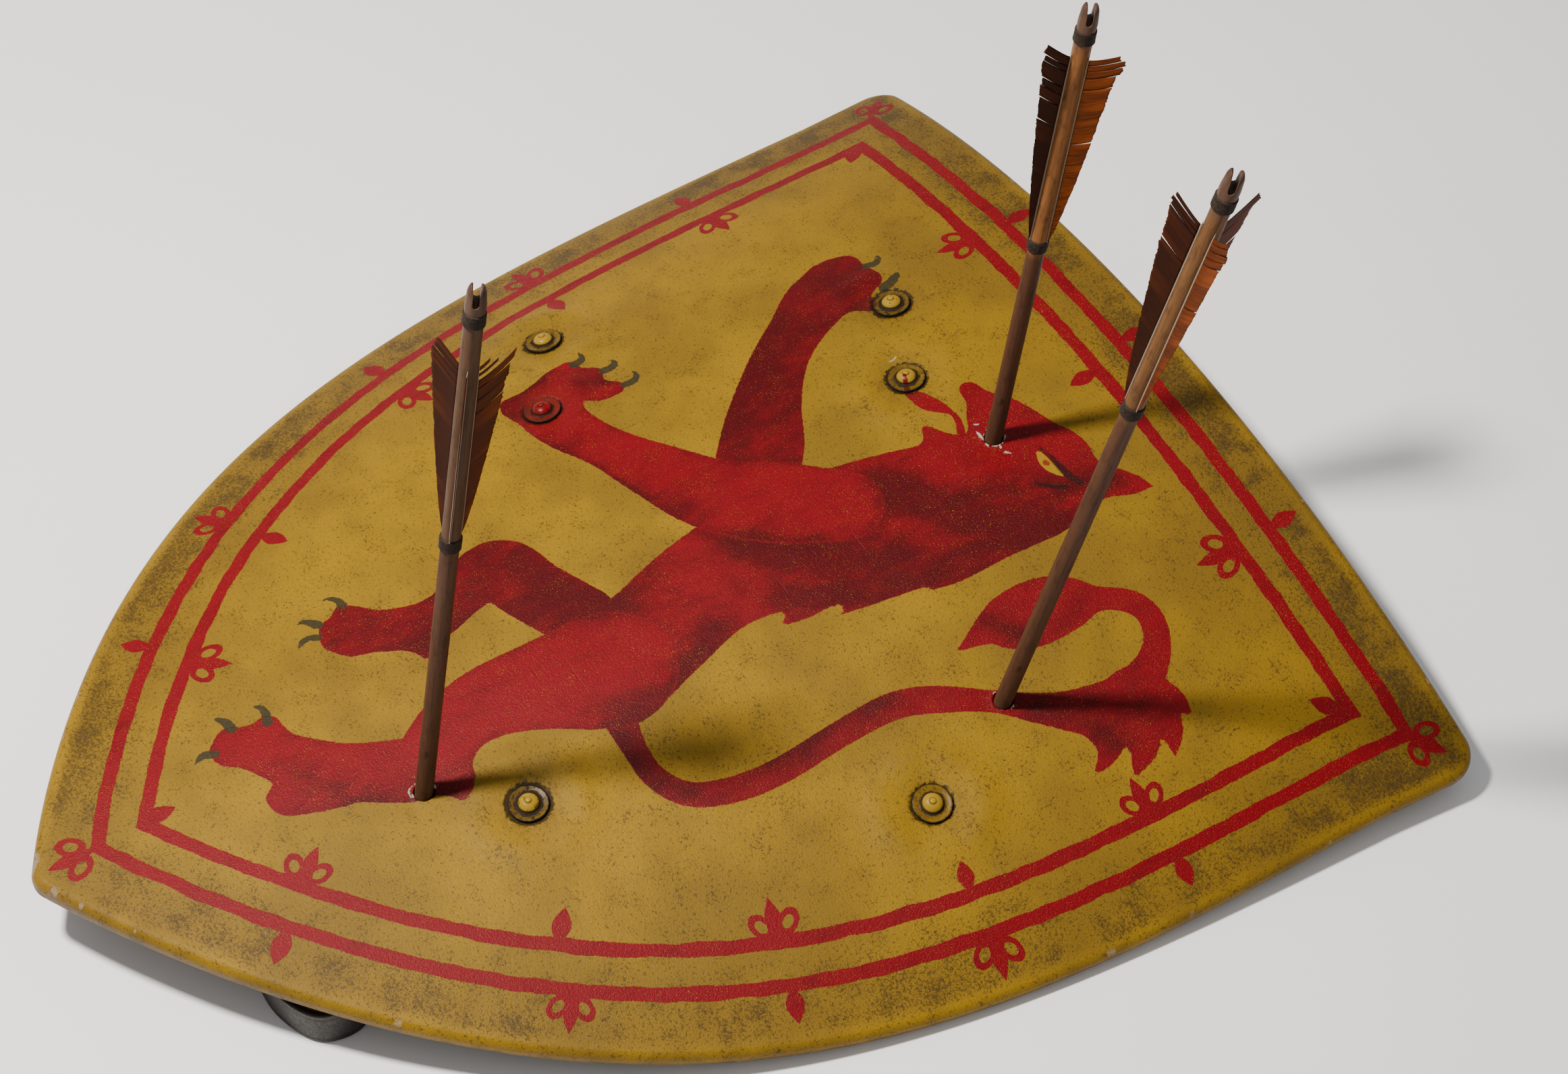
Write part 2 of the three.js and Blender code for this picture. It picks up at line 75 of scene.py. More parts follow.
def bend(t, s, n):  # (R + n) sin(t / R), s, (R + n) cos(t / R) - R, then pitched and set down
    radius = shield["bendRadius"]
    t, s, n = np.broadcast_arrays(np.asarray(t, float), s, n)
    upright = np.stack([(radius + n) * np.sin(t / radius), s,
                        (radius + n) * np.cos(t / radius) - radius], -1)
    return turnDown(upright) + [0, shield["shift"], shield["lift"]]


def gridFaces(rows, columns, wrap=False, first=0):  # quads between neighbouring rows and columns
    index = first + np.arange(rows * columns).reshape(rows, columns)
    if wrap:
        index = np.concatenate([index, index[:, :1]], 1)
    return np.stack([index[:-1, :-1], index[:-1, 1:], index[1:, 1:], index[1:, :-1]], -1).reshape(-1, 4)


def numbered(blocks, points):  # adds points to the blocks and gives their numbers
    blocks.append(points)
    return sum(map(len, blocks[:-1])) + np.arange(len(points))


def bands(loops):  # quads between each closed loop and the next
    return [np.stack([a, np.roll(a, -1), np.roll(b, -1), b], -1) for a, b in zip(loops[:-1], loops[1:])]


def unit(vectors):
    return vectors / np.linalg.norm(vectors, axis=-1, keepdims=True)


def makePiece(name, points, faces, material, replaced, attributes, crease=None):
    faces = faces or [gridFaces(*points.shape[:2], wrap=True)]  # none given: rows of closed rings
    mesh = bpy.data.meshes.new(name)
    corners = np.asarray(points, float).reshape(-1, 3) * millimetre
    mesh.from_pydata(corners.tolist(), [], [corner for part in faces for corner in part.tolist()])
    for key, values in attributes.items():
        layer = mesh.attributes.new(key, "FLOAT_VECTOR", "POINT")
        layer.data.foreach_set("vector", np.asarray(values, np.float32).ravel())
    work = bmesh.new()
    work.from_mesh(mesh)
    bmesh.ops.remove_doubles(work, verts=work.verts, dist=2e-6)
    bmesh.ops.recalc_face_normals(work, faces=work.faces)
    work.to_mesh(mesh)
    work.free()
    mesh.polygons.foreach_set("use_smooth", np.ones(len(mesh.polygons), bool))
    if crease:
        mesh.set_sharp_from_angle(angle=math.radians(crease))
    mesh.materials.append(material)
    piece = bpy.data.objects.new(name, mesh)
    bpy.context.scene.collection.objects.link(piece)
    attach(piece, "root")
    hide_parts(*replaced)
    return piece


# Outline of the face, the same as the frame's
def halfWidth(s):
    below = np.maximum(0, 1 - s / shield["shoulderHeight"])
    swell = (1 - below ** shield["sideBulge"]) ** shield["sideFullness"]
    flare = shield["topFlare"] * np.maximum(0, s - shield["shoulderHeight"])
    return shield["shoulderHalfWidth"] * swell + flare


def sidePoint(s, inset):  # right side moved in by a distance: t, s and its outward normal
    slope = (halfWidth(s + 0.01) - halfWidth(s)) / 0.01
    size = np.hypot(1, slope)
    return np.stack([halfWidth(s) - inset / size, s + inset * slope / size, 1 / size, -slope / size], -1)


def solveHeight(test):
    low, high = 0.001, shield["length"]
    for _ in range(50):
        middle = (low + high) / 2
        low, high = (middle, high) if test(middle) < 0 else (low, middle)
    return (low + high) / 2


cover = {
    "columns": 250, "tipRows": 8, "sideRows": 286, "cornerRows": 12,
    "middleCrowding": 0.16,  # how much closer the columns are in the middle
    "rimSteps": 5, "waviness": 0.28, "dishDepth": 0.9, "dishRadius": 16,
    "bulge": 0.9, "bulgeRadius": 27, "bulgeWidth": 9,
    "dimpleDepth": 0.5, "dimpleFloor": 11, "dimpleRadius": 13.4,
    "holeRadius": 5.75, "holeDepth": 1.5, "lipHeight": 0.45, "lipRadius": 6.4, "lipWidth": 1.5,
    "holeSink": 0.35, "sinkRadius": 16, "marginWave": 1.1, "insideColumns": 10,
}
grime = (0.35, 1.0, 0.7, 0.45, 0.6, 0.85)  # how dirty each of the rivets below is
rivets = {  # name: t, s, and the thickness of the strap under it
    "elbow_rivet_upper": (-148, 371, 4.0), "elbow_rivet_lower": (92, 238.5, 4.0),
    "hand_rivet_upper": (-45, 549, 4.0), "hand_rivet_lower": (194, 419, 4.0),
    "neck_rivet_lower": (-207, 400, 3.8), "neck_rivet_upper": (-102, 573.5, 3.8),
}
torn = (0.8, 0.15, 0.45)  # how torn the paint is round each of the arrows below
arrows = {  # name: t, s, lean, length outside the face, turn of the feathers
    "upper_arrow": (19, 566, (0.042, 0.174, 0.984), 309, 20),
    "lower_arrow": (162, 482, (0.121, 0.248, 0.961), 395, 95),
    "tip_arrow": (58.5, 195.5, (-0.02, 0.244, 0.97), 340, -35),
}


def rightSide(inset):  # tip arc, side and corner arc of the outline moved in by a distance
    tip = max(shield["tipRadius"] - inset, 1)
    corner = max(shield["topCornerRadius"] - inset, 1)
    low = solveHeight(lambda s: sidePoint(s, inset + tip)[0])
    high = solveHeight(lambda s: sidePoint(s, inset + corner)[1] - (shield["length"] - inset - corner))

    def arc(centre, radius, start, end, steps):
        angle = np.linspace(start, end, steps + 1)
        return np.stack([centre[0] + radius * np.cos(angle), centre[1] + radius * np.sin(angle),
                         np.cos(angle), np.sin(angle)], -1)

    tipNormal, topNormal = sidePoint(low, 0)[2:], sidePoint(high, 0)[2:]
    tipArc = arc((0, sidePoint(low, inset + tip)[1]), tip, -math.pi / 2,
                 math.atan2(tipNormal[1], tipNormal[0]), cover["tipRows"])
    share = np.linspace(0, 1, cover["sideRows"] + 1)[1:-1]
    side = sidePoint(low + (high - low) * share * (0.85 + 0.15 * share), inset)
    cornerArc = arc(sidePoint(high, inset + corner)[:2], corner,
                    math.atan2(topNormal[1], topNormal[0]), math.pi / 2, cover["cornerRows"])
    return np.concatenate([tipArc, side, cornerArc])


acrossShare = np.linspace(-1, 1, cover["columns"] + 1)
acrossShare = acrossShare * (1 - cover["middleCrowding"]) + cover["middleCrowding"] * acrossShare ** 3


def rimLoop(inset):  # t, s once round the outline, from the tip up the right side and back
    side = rightSide(inset)
    top = np.stack([side[-1, 0] * acrossShare[-2:0:-1], np.full(cover["columns"] - 1, side[-1, 1])], -1)
    left = side[:0:-1, :2] * [-1, 1]
    return np.concatenate([side[:1, :2] * [0, 1], side[1:, :2], top, left])


sideLine = sidePoint(np.linspace(0.01, 700, 900), 0)


def insets(t, s):  # distance to the nearer side line, and to the top edge
    nearest = np.empty(t.size)
    flatT, flatS = np.abs(t).ravel(), s.ravel()
    for first in range(0, t.size, 20000):
        part = slice(first, first + 20000)
        apart = (flatT[part, None] - sideLine[:, 0]) ** 2 + (flatS[part, None] - sideLine[:, 1]) ** 2
        nearest[part] = np.sqrt(apart.min(1))
    return nearest.reshape(t.shape), shield["length"] - s


# The painted picture: limbs are chains of circles (t, s, radius) joined by straight tapers
# and eased into each other, and the distance to their edge is kept on the mesh
picture = {
    "body": [
        [(40, 316, 37), (34, 345, 33), (22, 385, 34), (22, 430, 40), (36, 480, 46), (45, 520, 44),
         (52, 560, 40)],
        [(52, 574, 34), (39, 578, 24), (12, 575, 18), (-6, 574, 8.5), (-17, 573, 5.7)],
        [(40, 556, 22), (23, 544, 11.5), (12, 541, 8.5), (3, 539, 6.3), (-5.5, 538, 2.8)],
        [(60, 576, 17), (68, 585, 14.5), (75, 600, 10.8), (84, 612, 7), (88.5, 618, 3), (92, 622.5, 0)],
        [(74, 520, 14), (83, 502, 7), (87, 485, 0)],
        [(66, 470, 13), (72, 452, 7), (76, 434, 0)],
        [(54, 440, 13), (62, 421, 7), (66, 403, 0)],
    ],
    "farLimbs": [
        [(-22, 438, 24), (-46, 456, 24), (-67, 470, 21), (-88, 487, 18), (-104, 503, 17), (-118, 522, 18),
         (-133, 546, 22), (-138, 560, 18)],
        [(-147, 560, 14), (-150, 570, 8)], [(-130, 566, 13), (-127, 573, 8)],
        [(-116, 558, 8), (-109, 562, 5)],
        [(4, 316, 20), (-26, 303, 20), (-52, 293, 20), (-43, 268, 14), (-38, 248, 15), (-43, 230, 15),
         (-52, 214, 14), (-58, 206, 11)],
        [(-32, 240, 11), (-18, 236, 3)], [(-62, 214, 9), (-71, 211, 5)], [(-58, 204, 9), (-64, 200, 5)],
        [(-48, 206, 9), (-54, 199, 6)],
    ],
    "nearLimbs": [
        [(14, 470, 24), (-6, 444, 28), (-30, 418, 25), (-62, 401, 20), (-96, 386, 15), (-128, 374, 17),
         (-150, 376, 19), (-156, 388, 17)],
        [(-166, 392, 10), (-171, 399, 6)], [(-154, 400, 10), (-157, 407, 7)],
        [(-141, 404, 9), (-138, 412, 6)],
        [(-158, 362, 11), (-163, 358, 6)],
        [(42, 312, 37), (32, 278, 28), (27, 250, 23), (31, 226, 20), (44, 204, 20), (37, 184, 19),
         (24, 164, 17), (8, 148, 16), (-8, 136, 14), (-18, 124, 10)],
        [(62, 214, 9), (72, 211, 2)], [(20, 150, 13), (25, 137, 11), (22, 130, 6)],
        [(26, 136, 9), (35, 147, 7), (41, 158, 4)],
        [(-16, 140, 11), (-22, 144, 7)], [(-20, 128, 9), (-27, 124, 6)], [(-18, 120, 8), (-21, 117, 5)],
    ],
    "tail": [
        [(70, 303, 9), (92, 301, 6.5), (111, 302, 6.5), (128, 312, 7), (137, 332, 7.5), (140, 360, 7.5),
         (137, 400, 7.5), (137, 430, 8), (145, 452, 8), (160, 477, 6.5), (178, 500, 9.5), (190, 522, 14),
         (190, 546, 12), (178, 567, 8), (161, 576, 7), (146, 572, 7), (135, 556, 8), (128, 536, 18),
         (126, 516, 18.5), (123, 498, 9), (126, 475, 0)],
        [(190, 544, 13), (203, 560, 7), (218, 565, 0)], [(194, 540, 13), (214, 551, 8), (234, 544, 0)],
        [(194, 530, 13), (217, 534, 9), (233, 518, 0)], [(190, 520, 13), (211, 517, 7), (222, 500, 0)],
    ],
    "tongue": [[(-44, 547.5, 1), (-34.5, 544, 2.2), (-28, 546.5, 4.5), (-21, 548.5, 5.3), (-14.5, 552.5, 3.7),
                (-9.6, 555.5, 1.7), (-4, 556.3, 1.8), (2.5, 554.6, 2.2), (10, 551, 2.6)]],
    "claws": [
        [(-139.5, 579, 3), (-138.3, 584, 2.5), (-141, 587.5, 2), (-144, 588, 1), (-146, 587, 0)],
        [(-116.5, 577, 3.1), (-118, 583, 3.2), (-120.5, 588, 2.2), (-123.5, 590.5, 0.2)],
        [(-172, 403.5, 3.3), (-172.5, 407.5, 2.5), (-175, 410, 1.8), (-179, 410, 0.8), (-181.5, 409, 0)],
        [(-156, 414.5, 3.1), (-155.5, 419, 2.7), (-158, 422.5, 2), (-161, 422.5, 1), (-164, 420.5, 0)],
        [(-137, 418, 2.4), (-136.5, 423, 2.7), (-139, 427, 1.9), (-143.5, 428, 1.1), (-146.5, 426.5, 0)],
        [(-31, 127.5, 2.9), (-35.5, 127, 2.7), (-40, 124.5, 1.7), (-43, 121.5, 0)],
        [(-24.5, 145.5, 3.1), (-31, 147, 2.2), (-36, 146, 1.5), (-39, 142, 0)],
        [(-20.5, 113.5, 2.6), (-23, 108.5, 2.4), (-22, 105, 1.7), (-20.5, 102, 0.2)],
        [(-75, 213, 2.7), (-80, 212, 2.1), (-84, 209, 1.3), (-85, 204, 0)],
        [(-70, 196, 2.9), (-74, 193, 2.3), (-77, 190, 1.5), (-77, 185.5, 0.1)],
        [(-62, 192, 2.4), (-64.5, 187.5, 1.8), (-63.5, 183.5, 1.8), (-61, 180, 0.4)],
    ],
    "ink": [
        [(37.5, 583, 0.4), (43, 584.8, 1.1), (51.5, 585.4, 1.6), (62, 586.8, 2.2), (71, 590, 1.4)],
        [(55, 566, 0.5), (62, 573, 1.1), (68, 581, 1.4)],
    ],
    "eye": [[(41, 581, 1.4), (47, 580.6, 2.9), (53, 581.2, 2.8), (60, 583.6, 1.2)]],
    "iris": [[(48.5, 580.6, 1.9), (49.5, 580.7, 1.9)]],
    "shadow": [  # soft dark strokes over the red
        [(12, 417, 9), (41, 445, 11), (61, 477, 9)], [(12, 501, 6), (46, 516, 9), (70, 542, 8), (72, 575, 3)],
        [(51, 414, 6), (71, 459, 7), (82, 515, 8), (88, 563, 7), (90, 590, 5)],
        [(-119, 355, 2), (-62, 376, 3.3), (-31, 397, 3.9)],
        [(69, 299, 4.6), (73, 327, 6.9), (65, 353, 4.6), (50, 371, 3.5)],
        [(46, 160, 2), (55, 177, 4), (62, 206, 3)], [(34, 160, 0.5), (14, 144, 0.5)],
        [(-27, 383, 2.6), (-4, 360, 2.5)],
        [(-42, 309, 6.4), (-1, 321, 7.4), (-2, 350, 3.7)], [(-130, 514, 3.8), (-93, 477, 5), (-65, 441, 5.4)],
        [(81, 298, 2), (107, 297, 2.2), (128, 314, 1.2)], [(132, 360, 0.8), (130, 398, 0.8), (132, 434, 0.5)],
        [(166, 488, 1.4), (190, 511, 2.4), (209, 521, 1.2)], [(-23, 238, 3.1), (-26, 276, 3.1)],
        [(113, 496, 1.5), (137, 513, 1.4)], [(60, 572, 1), (66, 578, 2.5), (70, 587, 3.5), (78, 608, 1.5)],
        [(45, 528, 2), (50, 544, 3), (56, 554, 3)], [(-125, 560, 1.5), (-112, 552, 1)],
        [(-151, 400, 1), (-148, 409, 1)],
        [(-172, 382, 2), (-166, 362, 3), (-150, 358, 2)],
    ],
    "flakes": [  # bare spots where the paint has chipped off
        [(-63, 545, 0.2), (-61.5, 548, 0.6), (-61, 551, 0.3), (-62, 552.5, 0.5), (-61, 554.5, 0.1)],
        [(4.5, 559.5, 0.3), (6, 563, 0.7), (7, 566, 0.3)],
        [(9, 560, 0.2), (12, 560.5, 0.6), (15, 560.5, 0.8)],
        [(24.5, 564.5, 0.6), (27, 566, 0.7)],
        [(28, 559.5, 0.3), (28.5, 562, 0.8), (30.5, 564, 0.5), (32, 567, 0.6)],
        [(30.5, 568.5, 0.2), (33, 568.5, 0.6), (35.5, 569, 0.3)],
        [(52, 192, 0.2), (54, 189, 0.5), (58, 188, 0.3)],
    ],
}
drawing = {
    "easing": {"nearLimbs": 7, "farLimbs": 7, "body": 7, "tail": 3},  # how far neighbours melt together
    "curveSteps": 5, "shadowFade": 8.5,
}


def alongCurve(points, steps):  # Catmull-Rom through the points, the same number of steps in each span
    points = np.asarray(points, float)
    ends = np.concatenate([[2 * points[0] - points[1]], points, [2 * points[-1] - points[-2]]])
    share = np.linspace(0, 1, steps, endpoint=False)[:, None, None]
    a, b, c, d = ends[:-3], ends[1:-2], ends[2:-1], ends[3:]
    curve = 0.5 * (2 * b + (c - a) * share + (2 * a - 5 * b + 4 * c - d) * share ** 2
                   + (3 * b - a - 3 * c + d) * share ** 3)
    return np.concatenate([curve.swapaxes(0, 1).reshape(-1, points.shape[1]), points[-1:]])


def chainDistance(t, s, chain):  # distance to the nearest taper, less the radius there
    curve = alongCurve(chain, drawing["curveSteps"])
    nearest = np.full(t.shape, 1e3)
    for (t0, s0, r0), (t1, s1, r1) in zip(curve[:-1], curve[1:]):
        length = (t1 - t0) ** 2 + (s1 - s0) ** 2 + 1e-9
        share = np.clip(((t - t0) * (t1 - t0) + (s - s0) * (s1 - s0)) / length, 0, 1)
        reach = np.hypot(t - t0 - share * (t1 - t0), s - s0 - share * (s1 - s0))
        nearest = np.minimum(nearest, reach - np.maximum(r0 + share * (r1 - r0), 0))
    return nearest


def drawingDistance(t, s, chains, easing):  # smooth union: min - h²k/4 with h = 1 - |a - b|/k
    result = np.full(t.shape, 1e3)
    for chain in chains:
        centre = np.asarray(chain)[:, :2]
        low, high = centre.min(0) - 75, centre.max(0) + 75
        near = (t > low[0]) & (t < high[0]) & (s > low[1]) & (s < high[1])
        distance = np.full(t.shape, 1e3)
        distance[near] = chainDistance(t[near], s[near], chain)
        if easing:
            share = np.clip(1 - np.abs(result - distance) / easing, 0, 1)
            result = np.minimum(result, distance) - share * share * easing / 4
        else:
            result = np.minimum(result, distance)
    return np.clip(result, -60, 60)


# Ornaments of the border: a leaf or a three-petalled flower at each of these places (t, s)
border = {
    "outerLine": 33.8, "innerLine": 56.6, "topOuterLine": 28.7, "topInnerLine": 49.5, "lineWidth": 7.6,
    "outerLeaves": [(-121, 672), (-2, 672), (145, 672), (-290, 532), (-262, 309), (-115, 107), (287, 516),
                    (250, 304), (98, 96)],
    "outerFlowers": [(-285, 422), (-184, 181), (280, 409), (200, 204)],
    "innerLeaves": [(9, 628), (-230, 423), (-146, 205), (231, 414), (157, 222)],
    "innerFlowers": [(-121, 629), (147, 628), (-236, 534), (-210, 320), (-79, 136), (243, 517), (207, 317),
                     (66, 127)],
    "cornerFlowers": [(-284, 662, 135), (280, 660, 45), (0, 36, -90)],  # t, s and direction
    "cornerLeaves": [(-258, 639, -40), (254, 638, -140), (-2, 62, 92)],
    "reach": 38,
}


def ornamentPlaces():  # base point, direction out of the line, and kind (1 leaf, 2 flower)
    places = []
    mirrored = np.concatenate([sideLine, sideLine * [-1, 1, -1, 1]])
    for key, kind, outward in (("outerLeaves", 1, 1), ("outerFlowers", 2, 1), ("innerLeaves", 1, -1),
                               ("innerFlowers", 2, -1)):
        for t, s in border[key]:
            nearest = mirrored[np.argmin(np.hypot(mirrored[:, 0] - t, mirrored[:, 1] - s))]
            onTop = shield["length"] - s < math.hypot(nearest[0] - t, nearest[1] - s)
            if onTop:
                line = border["topOuterLine" if outward > 0 else "topInnerLine"]
                base, normal = np.array([t, shield["length"] - line]), np.array([0.0, 1.0])
            else:
                line = border["outerLine" if outward > 0 else "innerLine"]
                base, normal = nearest[:2] - line * nearest[2:], nearest[2:]
            places.append((*base, *(normal * outward), kind, outward))
    for key, kind, outward in (("cornerFlowers", 2, 1), ("cornerLeaves", 1, -1)):
        for t, s, angle in border[key]:
            places.append((t, s, math.cos(math.radians(angle)), math.sin(math.radians(angle)), kind, outward))
    return places


def ornamentCoordinates(t, s, sideInset, topInset):  # u along the line, v out of it, and the kind
    result = np.zeros(t.shape + (3,))
    result[..., 1] = -40
    closest = np.full(t.shape, 1e3)
    middle = (border["outerLine"] + border["innerLine"]) / 2
    topMiddle = (border["topOuterLine"] + border["topInnerLine"]) / 2
    isOuter = np.minimum(sideInset - middle, topInset - topMiddle) < 0
    draw = np.random.default_rng(7)
    for baseT, baseS, normalT, normalS, kind, outward in ornamentPlaces():
        size, turn = draw.uniform(0.94, 1.1), draw.uniform(-0.12, 0.12)
        normalT, normalS = (normalT * math.cos(turn) - normalS * math.sin(turn),
                            normalT * math.sin(turn) + normalS * math.cos(turn))
        apart = np.hypot(t - baseT, s - baseS)
        chosen = (apart < closest) & (isOuter == (outward > 0))
        closest = np.where(chosen, apart, closest)
        u = ((t - baseT) * normalS - (s - baseS) * normalT) / size
        v = ((t - baseT) * normalT + (s - baseS) * normalS) / size
        shown = np.where(apart < border["reach"], float(kind), 0.0)
        result[chosen] = np.stack([u, v, shown], -1)[chosen]
    return result


def paintAttributes(t, s):  # all that the paint reads from the mesh, for the face and what is on it
    sideInset, topInset = insets(t, s)
    away = {name: drawingDistance(t, s, chains, drawing["easing"].get(name, 0))
            for name, chains in picture.items()}
    rivetAways, holeAways = (np.array([np.hypot(t - place[0], s - place[1]) for place in places.values()])
                             for places in (rivets, arrows))
    values = {
        "insets": (sideInset, topInset, np.minimum(sideInset, topInset)),
        "limbs": (away["nearLimbs"], away["farLimbs"], np.minimum(away["body"], away["tail"])),
        "details": (away["claws"], away["ink"], away["tongue"]),
        "eyes": (away["eye"], away["iris"], np.exp(-np.maximum(away["shadow"], 0) / drawing["shadowFade"])),
        "marks": (rivetAways.min(0), holeAways.min(0), np.array(grime)[rivetAways.argmin(0)]),
        "wear": (away["flakes"], np.array(torn)[holeAways.argmin(0)], 0 * t),
    }
    attributes = {name: np.stack(parts, -1) for name, parts in values.items()}
    attributes["ornament"] = ornamentCoordinates(t, s, sideInset, topInset)
    return attributes


def faceHeight(t, s):  # slow waves, a dish and a dimple at each rivet, a raised lip at each arrow
    height = cover["waviness"] * (softNoise(t + 400, s, 71, 3) + 0.4 * softNoise(t + 400, s, 23, 4))
    for rivetT, rivetS, _ in rivets.values():
        away = np.hypot(t - rivetT, s - rivetS)
        angle = np.arctan2(s - rivetS, t - rivetT)
        pucker = 1 + 0.25 * np.sin(3 * angle + rivetT) + 0.15 * np.sin(7 * angle + rivetS)
        height -= cover["dishDepth"] * pucker * np.exp(-(away / cover["dishRadius"]) ** 2)
        fromCrest = (away - cover["bulgeRadius"]) / cover["bulgeWidth"]
        height += cover["bulge"] * pucker * np.exp(-fromCrest ** 2)
        height -= cover["dimpleDepth"] * (1 - smoothStep(cover["dimpleFloor"], cover["dimpleRadius"], away))
    for arrowT, arrowS, *_ in arrows.values():
        away = np.hypot(t - arrowT, s - arrowS)
        angle = np.arctan2(s - arrowS, t - arrowT)
        ragged = 0.7 + 0.5 * np.sin(5 * angle + arrowT) * np.sin(3 * angle + arrowS)
        fromLip = (away - cover["lipRadius"]) / cover["lipWidth"]
        height += cover["lipHeight"] * ragged * np.exp(-fromLip ** 2)
        height -= cover["holeSink"] * np.exp(-(away / cover["sinkRadius"]) ** 2)
    return height


def fillSheet(blocks, loop, inset, inside, depth):  # closes a rim loop with rows from side to side
    rim = rimLoop(inset)[1:len(rightSide(inset)) - 1]
    rows = len(rim) + 2
    rightLoop, leftLoop = loop[1:rows], loop[:-rows:-1]
    topLoop = np.concatenate([loop[rows - 1:rows + cover["columns"] - 1], leftLoop[-1:]])
    share = np.linspace(1, -1, inside + 1)[1:-1]
    t, s = rim[:, :1] * share, np.repeat(rim[:, 1:], len(share), 1)
    middle = numbered(blocks, np.stack([t, s, depth(t, s)], -1).reshape(-1, 3)).reshape(t.shape)
    sheet = np.concatenate([rightLoop[:-1, None], middle, leftLoop[:-1, None]], 1)
    lower = np.minimum(np.arange(cover["columns"]) * sheet.shape[1] // cover["columns"], sheet.shape[1] - 1)
    steps = np.nonzero(np.diff(lower))[0]
    return [
        np.stack([sheet[:-1, :-1], sheet[:-1, 1:], sheet[1:, 1:], sheet[1:, :-1]], -1).reshape(-1, 4),
        np.stack([np.full(sheet.shape[1] - 1, loop[0]), sheet[0, 1:], sheet[0, :-1]], -1),
        np.stack([topLoop[:-1], topLoop[1:], sheet[-1][lower]], -1),
        np.stack([topLoop[steps + 1], sheet[-1][lower[steps + 1]], sheet[-1][lower[steps]]], -1),
    ]


